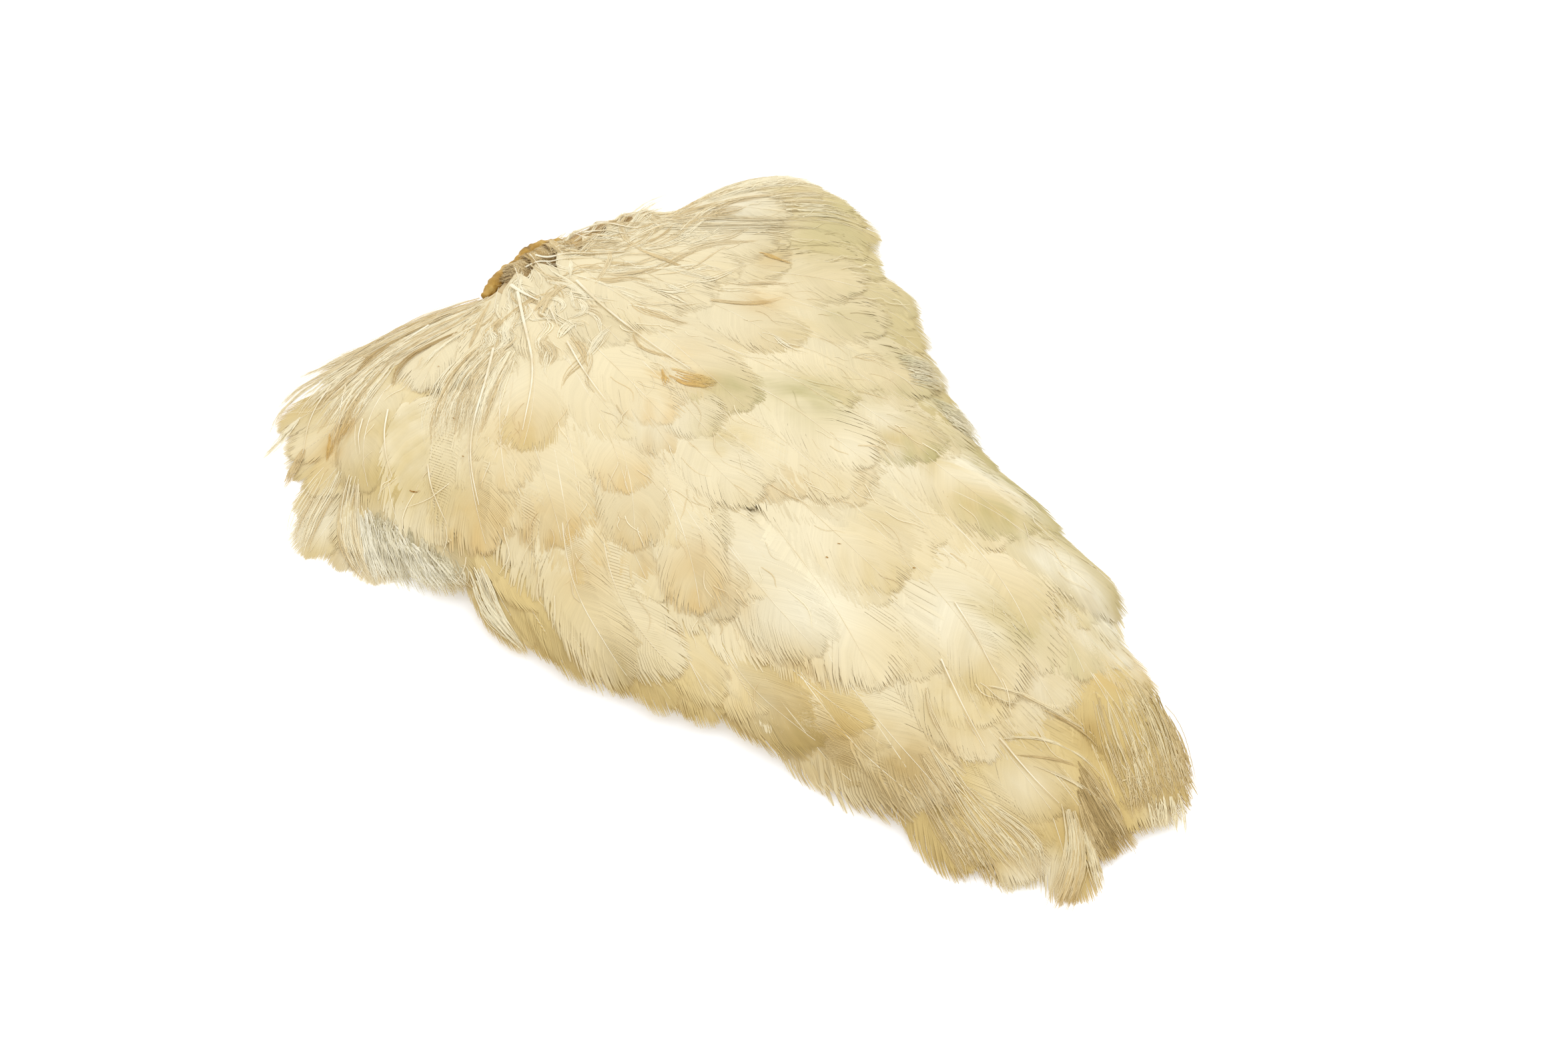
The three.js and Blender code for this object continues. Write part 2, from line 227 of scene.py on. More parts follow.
UPPER_FEATHERS = [
    (-48, 28, -2.5, 42.5, 12, 3, "olive", 0.5), (-46, 26, -8, 36.5, 11, 2, "olive", 0.3),
    (-56, 30, -20, 46, 12, 2, "olive", 0.4), (-60, 31, -32, 51, 12, 2, "olive", 0.35),
    (-25, -16, 20.7, -34.9, 8.5, -10.8, "tan", 0.5), (-36, 15, 8, 22, 11, 2, "tan", 0.1),
    (-22, -6, 17.5, -19.5, 9, 4, "golden", 0.6), (-38, -4, 0.3, -20.8, 9.5, 5, "golden", 0.5),
    (-46, -3, -10.6, -14.3, 8.5, 2, "golden", 0.5), (-54, 4, -14, -2.5, 9, 0, "golden", 0.35),
    (-36, 2, 4, 0.5, 10, 0, "tan", 0.15), (-58, 15, -15.3, 13.3, 11, 0, "olive", 0.9),
    (-52, 8, -14.2, 5, 9, 0, "olive", 0.2), (-66, 4, -21, 1.3, 9, 0, "golden", 0.45),
    (-58, 25, -25.4, 31.3, 10, 1, "tan", 0.4), (-66, 27, -46, 44.5, 11, 1, "tan", 0.3),
]
COLLAR_FEATHERS = [
    (-75, -4, -74, -37, 10, 3, "tan", 0.1),
    (-76, -2, -57, -27, 11, -2, "tan", 0), (-77, 33, -58, 54, 10, 2, "tan", 0),
    (-76, 1, -50, -16, 12, -2, "tan", 0), (-78, 29, -52, 46, 11, 2, "tan", 0.1),
    (-77, 5, -47, -4, 12, -1, "tan", 0), (-79, 24, -50, 36, 11, 1, "tan", 0.1),
    (-78, 9, -44, 7, 12, 0, "tan", 0), (-79, 19, -46, 27, 12, 1, "tan", 0),
    (-79, 14, -43, 17, 12, 0, "tan", 0),
]
planted = (TAIL_FEATHERS + REAR_SADDLE_FEATHERS + LEFT_FLANK_FEATHERS + RIGHT_FLANK_FEATHERS
           + MID_SADDLE_FEATHERS + FRONT_SADDLE_FEATHERS + UPPER_FEATHERS + COLLAR_FEATHERS)
print(len(planted), "feathers planted by hand")

# %% Plan of a feather
# Outlines of a vane: share of its length, and share of its half width there
ROUND_VANE = [
    (0, 0.06), (0.07, 0.1), (0.13, 0.34), (0.22, 0.62), (0.34, 0.84), (0.48, 0.96),
    (0.62, 1.02), (0.75, 1.04), (0.86, 0.98), (0.94, 0.8), (0.985, 0.52), (1.01, 0),
]
WORN_VANE = [
    (0, 0.06), (0.07, 0.1), (0.13, 0.34), (0.22, 0.6), (0.34, 0.8), (0.48, 0.94),
    (0.62, 1), (0.76, 1), (0.88, 0.95), (0.955, 0.78), (1, 0.5), (1.005, 0),
]
# Feathers half way between two of a list, where those two lie close
HALFWAY_REACH = 24
HALFWAY_WIDTH = 0.85


def plan_feather(row, profile, widen=1):
    root = np.array(row[:2], float)
    tip = np.array(row[2:4], float)
    width, bow, tone, strength = row[4:]
    length = np.linalg.norm(tip - root)
    left = np.array((root[1] - tip[1], tip[0] - root[0])) / length
    bend = (root + tip) / 2 + bow * left
    return {"points": (root, bend, tip), "length": length, "half": width * widen / 2,
            "profile": np.array(profile, float), "tone": tone, "strength": strength,
            "below": 0}


def halfway_rows(rows):
    """Feathers half way between each one of a list and the next."""
    between = []
    for first, second in zip(rows, rows[1:]):
        middle = [(a + b) / 2 for a, b in zip(first[:6], second[:6])]
        middle[4] *= HALFWAY_WIDTH
        if math.dist(first[2:4], second[2:4]) < HALFWAY_REACH:
            between.append((*middle, *first[6:]))
    return between


def half_at(plan, along):
    shares = np.interp(along, plan["profile"][:, 0], plan["profile"][:, 1])
    return plan["half"] * shares


def on_plan(plan, along, sideways):
    root, bend, tip = plan["points"]
    inside = np.clip(along, 0, 1)[..., None]
    place = (1 - inside) ** 2 * root + 2 * inside * (1 - inside) * bend + inside ** 2 * tip
    slope = 2 * (1 - inside) * (bend - root) + 2 * inside * (tip - bend)
    place = place + (along[..., None] - inside) * slope
    tangent = slope / np.linalg.norm(slope, axis=-1, keepdims=True)
    left = np.stack((-tangent[..., 1], tangent[..., 0]), -1)
    return place + left * sideways[..., None]


print(len(halfway_rows(LEFT_FLANK_FEATHERS)), "half way places on the left flank")

# %% [markdown]
# How the feathers lie on each other
#
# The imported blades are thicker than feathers, so that they can be handled as solids. Real
# feathers are films that cling to one another and make one smooth swell. A cloth simulation
# of a hundred feathers would take far too long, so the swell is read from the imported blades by
# rays from above and then blurred. Each feather is draped over it, a hair's breadth above the
# last one, and a map of heights remembers what was laid.

# %% Map of heights
MAP_CELL = 0.5
MAP_REACH = 110
MAP_SIDE = int(2 * MAP_REACH / MAP_CELL)
LAST_CELL = MAP_SIDE - 1.001
RAY_START = 50


def cells(coordinate):
    return np.clip(((coordinate + MAP_REACH) / MAP_CELL).astype(int), 0, MAP_SIDE - 1)


def tree_of(nodes):
    corners = []
    faces = []
    for node in nodes:
        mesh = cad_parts[node].data
        first = len(corners)
        corners += [vertex.co.copy() for vertex in mesh.vertices]
        faces += [tuple(first + corner for corner in polygon.vertices) for polygon in mesh.polygons]
    return BVHTree.FromPolygons(corners, faces)


def seen_from_above(nodes):
    tree = tree_of(nodes)
    surface = np.zeros((MAP_SIDE, MAP_SIDE))
    low, high = cad_box
    middles = (np.arange(MAP_SIDE) + 0.5) * MAP_CELL - MAP_REACH
    for i in np.flatnonzero((middles > low[1] / MM) & (middles < high[1] / MM)):
        for j in np.flatnonzero((middles > low[0] / MM) & (middles < high[0] / MM)):
            start = Vector((middles[j], middles[i], RAY_START)) * MM
            hit = tree.ray_cast(start, Vector((0, 0, -1)))
            if hit[0] is not None:
                surface[i, j] = hit[0].z / MM
    return surface


def smoothed(surface, rounds):
    for _ in range(rounds):
        wide = np.pad(surface, 1, mode="edge")
        surface = (wide[1:-1, 1:-1] * 2 + wide[:-2, 1:-1] + wide[2:, 1:-1]
                   + wide[1:-1, :-2] + wide[1:-1, 2:]) / 6
    return surface


def neighbours(surface, choose):
    wide = np.pad(surface, 1, mode="edge")
    across = choose(choose(wide[:, 1:-1], wide[:, :-2]), wide[:, 2:])
    return choose(choose(across[1:-1], across[:-2]), across[2:])


def with_pits_filled(surface, rounds):
    for choose in (np.maximum, np.minimum):
        for _ in range(rounds):
            surface = neighbours(surface, choose)
    return surface


# Rounds of filling and blurring, then millimetres
PIT_FILL = 14
SWELL_BLUR = 90
SWELL_DROP = 0.7
LEAST_SWELL = 0.15
skin_top = seen_from_above(["skin"])
blades_top = seen_from_above(list(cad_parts))
swell = smoothed(with_pits_filled(blades_top, PIT_FILL), SWELL_BLUR)
swell = np.maximum(swell * (1 - SWELL_DROP / swell.max()), LEAST_SWELL)
print("skin to", round(float(skin_top.max()), 2), "mm, swell to", round(float(swell.max()), 2), "mm")

# %% Drape a feather
QUILL_HALF = 0.6
STATIONS = np.linspace(0, 1, 26)
PLACES = np.linspace(-1, 1, 11)
# Finer rows and columns that find the cells of the map under a feather
FINE_STATIONS = np.linspace(0, 1, 130)
FINE_PLACES = np.linspace(-1, 1, 44)
ROOT_CLEARANCE = 0.15
TILT = 0.006
TIER = 0.003
CROWN = 0.01
RISE_BY = 0.3
LOW_SWELL = 3
LEAST_TIER = 0.2
DRAPE_BLUR = 2


def grid_of(plan):
    along, across = np.meshgrid(STATIONS, PLACES, indexing="ij")
    half = np.maximum(half_at(plan, along), QUILL_HALF)
    return on_plan(plan, along, across * half)


laid = skin_top.copy()
feathers = []


def eased(share):
    """Turns a straight rise from 0 to 1 into one with a soft start and end."""
    return share * share * (3 - 2 * share)


def draped(plan):
    """Heights of a feather over the swell, higher the further it is from its root."""
    place = grid_of(plan)
    row, column = cells(place[..., 1]), cells(place[..., 0])
    along, across = np.meshgrid(STATIONS, PLACES, indexing="ij")
    risen = eased(np.clip(along / RISE_BY, 0, 1))
    base = skin_top[row, column] + ROOT_CLEARANCE
    surface = base + (np.maximum(swell[row, column], base) - base) * risen
    over = TILT * along * plan["length"] + len(feathers) * TIER - plan["below"] * along
    over = over * np.clip(swell[row, column] / LOW_SWELL, LEAST_TIER, 1)
    return smoothed(surface, DRAPE_BLUR) + over + CROWN * (1 - across ** 2) * np.sin(np.pi * along)


def between_cells(values, row, column):
    """Evens out the four nearest values of a grid."""
    i = np.minimum(row.astype(int), len(values) - 2)
    j = np.minimum(column.astype(int), len(values[0]) - 2)
    a = row - i
    b = column - j
    return ((1 - a) * (1 - b) * values[i, j] + a * (1 - b) * values[i + 1, j]
            + (1 - a) * b * values[i, j + 1] + a * b * values[i + 1, j + 1])


def height_on(surface, along, across):
    """Height of a draped feather at shares of its length and of its half width."""
    row = np.clip(along, 0, 1) * (len(STATIONS) - 1)
    column = (np.clip(across, -1, 1) + 1) / 2 * (len(PLACES) - 1)
    return between_cells(surface, row, column)


def mark_laid(plan, surface):
    """Notes a feather's height in the map."""
    along, across = np.meshgrid(FINE_STATIONS, FINE_PLACES, indexing="ij")
    half = np.maximum(half_at(plan, along), QUILL_HALF)
    place = on_plan(plan, along, across * half)
    height = height_on(surface, along, across)
    np.maximum.at(laid, (cells(place[..., 1]), cells(place[..., 0])), height)


print("a feather is draped on", len(STATIONS), "by", len(PLACES), "points")

# %% [markdown]
# Barbs from one small prism
#
# A barb is a thin flat rod with a low ridge along its top. Hair curves could stand for it, but
# they aren't solid and an export drops them. So one three-sided rod is modelled from a
# cylinder, cut across so that it can bend, and repeated by an Array modifier into a comb. Each
# feather then takes a copy of the comb and lays every rod along its own curve.

# %% Rods in rows
ROD_STEP = 3
TINY = 1e-9


def comb_of_rods(name, count, rings, sides):
    deselect()
    bpy.ops.mesh.primitive_cylinder_add(vertices=sides, radius=1, depth=1, location=(0, 0, 0.5))
    rod = bpy.context.object
    rod.name = name
    bpy.ops.object.transform_apply(location=True, rotation=False, scale=False)
    bpy.ops.object.mode_set(mode="EDIT")
    for ring in range(1, rings - 1):
        bpy.ops.mesh.select_all(action="SELECT")
        bpy.ops.mesh.bisect(plane_co=(0, 0, ring / (rings - 1)), plane_no=(0, 0, 1))
    bpy.ops.object.mode_set(mode="OBJECT")
    rod.data.uv_layers.remove(rod.data.uv_layers[0])
    corners = np.array([vertex.co for vertex in rod.data.vertices])
    row = rod.modifiers.new("row", "ARRAY")
    row.count = count
    row.use_relative_offset = False
    row.use_constant_offset = True
    row.constant_offset_displace = (ROD_STEP, 0, 0)
    only(rod)
    bpy.ops.object.modifier_apply(modifier="row")
    rod.hide_render = True
    faces = len(rod.data.polygons) // count
    print(name, "has", count, "rods of", faces, "faces")
    return {"rod": rod, "count": count, "rings": rings,
            "ring": np.rint(corners[:, 2] * (rings - 1)).astype(int),
            "side": corners[:, 0], "top": corners[:, 1]}


def unit(vectors):
    return vectors / (np.linalg.norm(vectors, axis=-1, keepdims=True) + TINY)


def lay_comb(comb, name, middle, half_width, thickness):
    """Lays each rod of a comb along its row of middle, an array of rods by rings by 3."""
    slope = unit(np.gradient(middle, axis=1))
    side = unit(np.stack((slope[..., 1], -slope[..., 0], np.zeros(slope.shape[:2])), -1))
    top = np.cross(side, slope)
    ring = comb["ring"]
    corners = (middle[:, ring]
               + side[:, ring] * (half_width[:, ring] * comb["side"])[..., None]
               + top[:, ring] * (thickness[:, ring] * comb["top"])[..., None])
    piece = comb["rod"].copy()
    piece.data = comb["rod"].data.copy()
    piece.name = name
    piece.data.name = name
    piece.hide_render = False
    bpy.context.scene.collection.objects.link(piece)
    piece.data.vertices.foreach_set("co", (corners * MM).astype(np.float32).ravel())
    piece.data.update()
    return piece


def write_value(piece, name, values):
    attribute = piece.data.attributes.new(name, "FLOAT", "POINT")
    attribute.data.foreach_set("value", np.asarray(values, np.float32).ravel())


def write_place(piece, along, across, outward):
    attribute = piece.data.attributes.new("place", "FLOAT_VECTOR", "POINT")
    values = np.stack((along, across, outward), -1).astype(np.float32)
    attribute.data.foreach_set("vector", values.ravel())


def place_of(piece):
    values = np.zeros(len(piece.data.vertices) * 3, np.float32)
    piece.data.attributes["place"].data.foreach_get("vector", values)
    return values.reshape(-1, 3)


def plan_corners(piece):
    """Places of a piece's vertices seen from above, in millimetres."""
    corners = np.zeros(len(piece.data.vertices) * 3, np.float32)
    piece.data.vertices.foreach_get("co", corners)
    return corners.reshape(-1, 3)[:, :2] / MM


BARBS = 104
BARB_SIDES = 3
SHAFT_RINGS = 24
SHAFT_SIDES = 6
# Shares of a barb's length at its rings, and of its width there
out = np.array((0, 0.4, 0.76, 1))
BARB_TAPER = np.array((1, 1, 0.95, 0.2))
barb_comb = comb_of_rods("barb_comb", 2 * BARBS, len(out), BARB_SIDES)
sparse_comb = comb_of_rods("sparse_comb", BARBS, len(out), BARB_SIDES)
shaft_rod = comb_of_rods("shaft_rod", 1, SHAFT_RINGS, SHAFT_SIDES)

# %% [markdown]
# One feather
#
# Barbs leave the shaft at a wide angle and sweep forward. Each ends on the feather's outline,
# and where that is, is found by halving: a barb grows until it meets the outline. Worn
# feathers part into locks, so neighbouring barbs are gathered towards the middle of their
# lock, more so towards their ends. A barb's end would float over the feathers below, so it is
# let down onto them, which softens every tip.

# %% Barbs of a vane
VANE_START = 0.07
SHAFT_END = 0.955
BARB_OVERLAP = 0.92
HALVINGS = 22
FORWARD_CURVE = 1.3
SIDEWAYS_CURVE = 1.45
GATHER_CURVE = 1.5
SWING_CURVE = 1.6
BARB_WANDER = 0.08
HEIGHT_WANDER = 0.003
CLING_GAP = 0.01
MOST_CLING = 0.5
BARB_WIDTHS = (0.05, 0.8)
RIDGE = 0.06
LOCK_GRAIN = 0.25
BARB_GRAIN = 0.1
LEAST_LOCK = 3
LOCK_EVENNESS = 4
# Share of the barbs, from the base: place of the root and forward lean
BARB_SHARE = (0, 0.16, 0.5, 0.8, 0.93, 1)
ROOT_SHARE = (0, 0.3, 0.62, 0.86, 0.985, 1)
LEAN_SHARE = (0, 0.3, 0.7, 0.9, 0.96, 1)
# Forward lean from base to tip, how far a lock's barbs gather, its width in millimetres, how
# far it swings and lifts, and the most by which a barb is shortened
SADDLE_STYLE = dict(lean=(1.0, 1.5, 2.1, 3.6, 8, 60), gather=0.05, lock=3.0, swing=0.02,
                    lift=0.01, fray=0.2)
FLANK_STYLE = dict(lean=(1.2, 1.9, 2.7, 4.2, 9, 60), gather=0.07, lock=3.0, swing=0.03,
                   lift=0.01, fray=0.1)
COLLAR_STYLE = dict(lean=(1.6, 2.2, 3, 5, 10, 60), gather=0.1, lock=3.0, swing=0.03,
                    lift=0.01, fray=0.2)
TAIL_STYLE = dict(lean=(1.1, 1.7, 2.4, 3.8, 8, 60), gather=0.1, lock=2.2, swing=0.04,
                  lift=0.03, fray=0.14)


def locks_along(count, spacing, lock):
    """Numbers the barbs by lock, and gives the middle barb of each barb's lock."""
    number = np.zeros(count, int)
    middle = np.zeros(count)
    start = 0
    lock_number = 0
    while start < count:
        size = rng.gamma(LOCK_EVENNESS, lock / LOCK_EVENNESS) / spacing
        size = max(LEAST_LOCK, int(size))
        end = min(count, start + size)
        number[start:end] = lock_number
        middle[start:end] = (start + end - 1) / 2
        lock_number += 1
        start = end
    return number, middle


def barb_reach(plan, root_at, lean):
    """How far each barb reaches sideways before it meets the outline."""
    low = np.zeros(root_at.shape)
    high = np.full(root_at.shape, plan["half"])
    for _ in range(HALVINGS):
        tried = (low + high) / 2
        inside = half_at(plan, root_at + lean * tried / plan["length"]) > tried
        low = np.where(inside, tried, low)
        high = np.where(inside, high, tried)
    return low


def laid_at(place):
    """Height of what was laid before, evened out between the cells of the map."""
    at = np.clip((place + MAP_REACH) / MAP_CELL - 0.5, 0, LAST_CELL)
    return between_cells(laid, at[..., 1], at[..., 0])


def barbs_of_side(plan, style, surface, side, count):
    number = np.arange(count)
    share = (number + 0.5) / count
    root_at = VANE_START + (SHAFT_END - VANE_START) * np.interp(share, BARB_SHARE, ROOT_SHARE)
    spacing = np.gradient(root_at) * plan["length"]
    lean = np.interp(share, LEAN_SHARE, style["lean"])
    reach = barb_reach(plan, root_at, lean)
    lock, middle = locks_along(count, spacing.mean(), style["lock"])
    swing = rng.normal(0, style["swing"], lock.max() + 1)[lock]
    lift = rng.uniform(0, style["lift"], lock.max() + 1)[lock]
    tone = rng.uniform(0, 1, lock.max() + 1)[lock]
    reach = reach * (1 - style["fray"] * rng.random(count) ** 2)
    forward = ((root_at * plan["length"])[:, None]
               + (lean * reach)[:, None] * out ** FORWARD_CURVE)
    sideways = reach[:, None] * (1 - (1 - out) ** SIDEWAYS_CURVE)
    pulled = ((middle - number) * spacing * style["gather"])[:, None] * out ** GATHER_CURVE
    swung = ((swing * reach)[:, None] * out ** SWING_CURVE
             + rng.normal(0, BARB_WANDER, count)[:, None] * out ** 2)
    along = (forward + pulled + swung) / plan["length"]
    wide = np.maximum(half_at(plan, along), QUILL_HALF)
    across = np.clip(sideways / wide, 0, 1) * side
    height = height_on(surface, along, across) + lift[:, None] * out ** 2
    height += rng.normal(0, HEIGHT_WANDER, count)[:, None] * out
    place = on_plan(plan, along, sideways * side)
    clear = np.clip(height - laid_at(place) - CLING_GAP, 0, MOST_CLING)
    height -= clear * out ** SWING_CURVE
    middle_line = np.concatenate((place, height[..., None]), -1)
    plain = on_plan(plan, forward / plan["length"], sideways * side)
    step = np.gradient(plain, axis=0)
    slope = unit(np.gradient(plain, axis=1))
    apart = np.abs(step[..., 0] * slope[..., 1] - step[..., 1] * slope[..., 0])
    half_width = np.clip(apart * BARB_OVERLAP, *BARB_WIDTHS) * BARB_TAPER
    grain = 0.5 + LOCK_GRAIN * (tone - 0.5) + rng.normal(0, BARB_GRAIN, count)
    return {"middle": middle_line, "half_width": half_width, "along": along, "across": across,
            "grain": grain}


print(2 * BARBS, "barbs to a large feather,", BARBS, "to a small one")

# %% Shaft
SHAFT_REACH = 0.97
shaft_along = np.linspace(0, SHAFT_REACH, SHAFT_RINGS)
SHAFT_LIFT = 0.03
SHAFT_LEAST = 0.03
SHAFT_TAPER = 0.8


def shaft_of(plan, surface, thick):
    straight = np.zeros(SHAFT_RINGS)
    place = on_plan(plan, shaft_along, straight)
    height = height_on(surface, shaft_along, straight) + SHAFT_LIFT
    middle = np.concatenate((place, height[:, None]), -1)[None]
    radius = (thick * (1 - shaft_along) ** SHAFT_TAPER + SHAFT_LEAST)[None]
    return middle, radius


print("a shaft of", SHAFT_RINGS, "rings ends at", SHAFT_REACH, "of the length")


# %% Lay one feather
def lay_feather(name, comb, plan, style, surface, thick, tints):
    barbs = comb["count"] // 2
    sides = [barbs_of_side(plan, style, surface, side, barbs) for side in (1, -1)]
    joined = {key: np.concatenate([part[key] for part in sides]) for key in sides[0]}
    thickness = joined["half_width"] * RIDGE
    vane = lay_comb(comb, name, joined["middle"], joined["half_width"], thickness)
    ring = comb["ring"]
    rods = (2 * barbs, len(ring))
    write_place(vane, joined["along"][:, ring], joined["across"][:, ring],
                np.broadcast_to(out[ring], rods))
    write_value(vane, "grain", np.broadcast_to(joined["grain"][:, None], rods))
    middle, radius = shaft_of(plan, surface, thick)
    shaft = lay_comb(shaft_rod, name + "_shaft", middle, radius, radius)
    along = shaft_along[shaft_rod["ring"]]
    write_place(shaft, along, np.zeros(along.shape), np.zeros(along.shape))
    for part in (vane, shaft):
        for tint, strength in tints(plan, place_of(part), plan_corners(part)).items():
            write_value(part, tint, strength)
    mark_laid(plan, surface)
    return vane, shaft


def join(name, first, second):
    deselect()
    first.select_set(True)
    second.select_set(True)
    bpy.context.view_layer.objects.active = first
    bpy.ops.object.join()
    first.name = name
    return first


# %% [markdown]
# Colour of the plumage
#
# The feathers are cream, whiter at their base and honey or tan towards their tips, with a few
# golden, brown and grey-green stains. A stain runs on across several feathers, so it can't be
# drawn feather by feather. Each vertex carries how strongly it is stained, worked out from a
# list of round spots, and the material only mixes the tones by those values. The grain value,
# one per barb, makes the fine streaks.

# %% Stains
# x, y, radius and strength in the plan
GOLDEN_SPOTS = [
    (-26.5, 11.5, 3, 0.8), (-32, 7, 1.6, 0.7), (-55, -46, 3.2, 1.0), (-57, -41.5, 2.6, 0.8),
    (-50, 44, 2, 0.8), (-41, 35, 3.5, 0.6), (-36, 16, 4, 0.25), (-33, -21, 6, 0.4),
    (-14, -28.9, 4.5, 0.6), (-33.7, -22, 4, 0.4), (-23.5, -36.3, 4, 0.45), (-2, -29, 6, 0.35),
    (9, -14, 5, 0.45), (-15, -10, 6, 0.25), (19, -13, 3, 0.5), (38, -16, 7, 0.35),
    (51, -15, 5, 0.45), (60, 8, 20, 0.12), (-22, -36, 5, 0.35), (64, 22.5, 2.5, 0.35),
    (67.5, 26, 2, 0.5), (68.5, 30, 2, 0.4), (92, -6, 5, 0.3),
]
UMBER_SPOTS = [
    (61, -12.5, 7, 0.75), (50, -17, 8, 0.35), (67, -12, 6, 0.45), (80, -9, 10, 0.15),
    (71.5, 15.3, 3.5, 0.9), (76, 15, 2.5, 0.6), (85.5, 5, 6, 0.8), (71, 8, 3, 0.35),
    (84, 21, 4, 0.35), (84.5, 3.2, 3.5, 0.5), (88.5, 19.5, 3, 0.4), (80, 27.5, 3, 0.25),
]
OLIVE_SPOTS = [
    (-22, 15.5, 4.5, 0.85), (-14, 22.8, 5, 0.8), (-11, 26, 7, 0.7), (49, 20, 6, 0.5),
    (45, 18, 4, 0.3), (-24, 47, 10, 0.35), (-30, 43, 3, 0.5), (-22, 44.5, 3, 0.5),
    (-14, 45, 3, 0.5), (-57, 65, 5, 0.5), (-49.5, 57, 9, 0.5), (56, 33, 2.5, 0.5),
    (3, 37, 3, 0.6), (7, 39, 3, 0.6), (11, 41, 3, 0.75), (15, 42.5, 2.5, 0.8),
    (17, 39.4, 2.3, 0.75), (21.7, 41.6, 2.5, 0.85), (26.5, 43.2, 3, 0.8), (35, 40, 2.2, 0.7),
    (41, 40.5, 2.2, 0.75), (47, 40.5, 2.2, 0.7), (52, 39, 3, 0.6), (-2, 42, 4, 0.5),
    (70, 31, 5, 0.3), (74, 26, 8, 0.15),
]
TAN_SPOTS = [
    (-40, -41, 8, 0.55), (-27, -41, 8, 0.55), (-44, -36.5, 7, 0.7), (-51, -34, 6, 0.7),
    (-35, -41, 6, 0.6), (-48.3, 48.6, 7, 0.4), (-53, 8, 7, 0.2), (56, 3.4, 8, 0.75),
    (49, 1.4, 5, 0.4), (42, 3.5, 5, 0.25), (-11, 6, 5, 0.7), (17, 14.3, 5, 0.45),
    (0, -37, 11, 0.35), (20, -32, 11, 0.25), (52, -14, 10, 0.4), (87, 0, 9, 0.3),
    (79, 25, 9, 0.4), (-60, 59, 8, 0.3), (5, 29.7, 3, 0.6), (8.5, 31, 3, 0.6), (11.5, 32, 2, 0.6),
    (24, 30, 4, 0.55), (27, 31.7, 3.5, 0.65), (31, 34, 3, 0.75), (34, 36, 3, 0.75),
    (44, 17.5, 3, 0.5), (48, 19.5, 3.5, 0.6), (36, -15.5, 5, 0.5), (82, 20, 6, 0.4),
    (84, -9, 6, 0.3),
]
PALE_SPOTS = [
    (16, 35.5, 3.2, 0.95), (20.5, 38.2, 2.8, 0.95), (24.5, 40, 2.4, 0.9), (36.5, 34.5, 3.2, 0.95),
    (42, 36.5, 3, 0.8), (-1, 31, 4, 0.6), (28, -5, 9, 0.8), (41, 10, 7, 0.7),
    (45.5, 35.2, 4, 1.0), (49.6, 35.2, 3, 1.0), (40, 33.8, 4, 1.0), (54, 34, 3, 1.0),
    (9, 27.3, 5, 0.5), (22, -24, 5, 0.35), (30, -23, 5, 0.35), (37, -20, 5, 0.3),
    (30, 39, 2.6, 0.9), (-30, -52, 8, 0.9), (-20, -49, 6, 0.9), (87.5, -5.6, 3.5, 0.9),
    (40, 13, 5, 0.7), (48, 14, 4, 0.7), (3, 22, 5, 0.5), (53, 6, 8, 0.25), (-48, -22, 7, 0.6),
    (-8, 5, 10, 0.4), (74, 1, 6, 0.6), (60, 14, 6, 0.5), (57, 28.5, 2.4, 0.8),
    (61.3, 31.3, 2.2, 0.8), (-59, -35, 8, 0.55), (-52, -43, 6, 0.5), (-61, -48, 6, 0.5),
    (-66, 46, 8, 0.8), (16, 5, 8, 0.4), (-44, -57, 7, 0.9), (-22, 0, 8, 0.4), (12, -5, 6, 0.5),
    (22, -6.5, 5, 0.5), (42, -8.5, 5, 0.3), (48, -5, 4, 0.15), (91.5, 15.5, 3.5, 1.0),
    (87, -9.5, 4, 0.8),
]


def spots_at(spots, corners):
    strength = np.zeros(len(corners))
    for x, y, radius, most in spots:
        distance = np.hypot(corners[:, 0] - x, corners[:, 1] - y) / radius
        strength = np.maximum(strength, most * np.exp(-distance ** 2))
    return strength


TONE_STARTS = (0.7, 0.82)
TONE_END = 1.02
TONE_WANDER = 0.06
TONE_WAVES = (0.9, 1.3)
LEAST_RIPE = 0.2
RIPE_SHARE = 1.2


def plumage_tints(plan, place, corners):
    starts = rng.uniform(*TONE_STARTS)
    waves = corners[:, 0] * TONE_WAVES[0] + corners[:, 1] * TONE_WAVES[1]
    along = place[:, 0] + TONE_WANDER * np.sin(waves)
    near_tip = eased(np.clip((along - starts) / (TONE_END - starts), 0, 1)) * plan["strength"]
    tints = {"golden": spots_at(GOLDEN_SPOTS, corners), "umber": spots_at(UMBER_SPOTS, corners),
             "olive": spots_at(OLIVE_SPOTS, corners), "tan": spots_at(TAN_SPOTS, corners)}
    tints[plan["tone"]] = np.maximum(tints[plan["tone"]], near_tip)
    tints["own_tone"] = np.full(len(corners), plan["own"])
    ripe = min(1, LEAST_RIPE + RIPE_SHARE * plan["strength"])
    tints["ripe"] = np.full(len(corners), ripe)
    tints["pale"] = spots_at(PALE_SPOTS, corners)
    return tints


stain_lists = (GOLDEN_SPOTS, UMBER_SPOTS, OLIVE_SPOTS, TAN_SPOTS, PALE_SPOTS)
print(sum(len(spots) for spots in stain_lists), "spots of stain")

# %% Material helpers
SOFT_SPECULAR = 0.25


def feed(tree, value, socket):
    """Links another socket to this one, or sets it to a plain value."""
    if isinstance(value, bpy.types.NodeSocket):
        tree.links.new(value, socket)
    else:
        socket.default_value = value


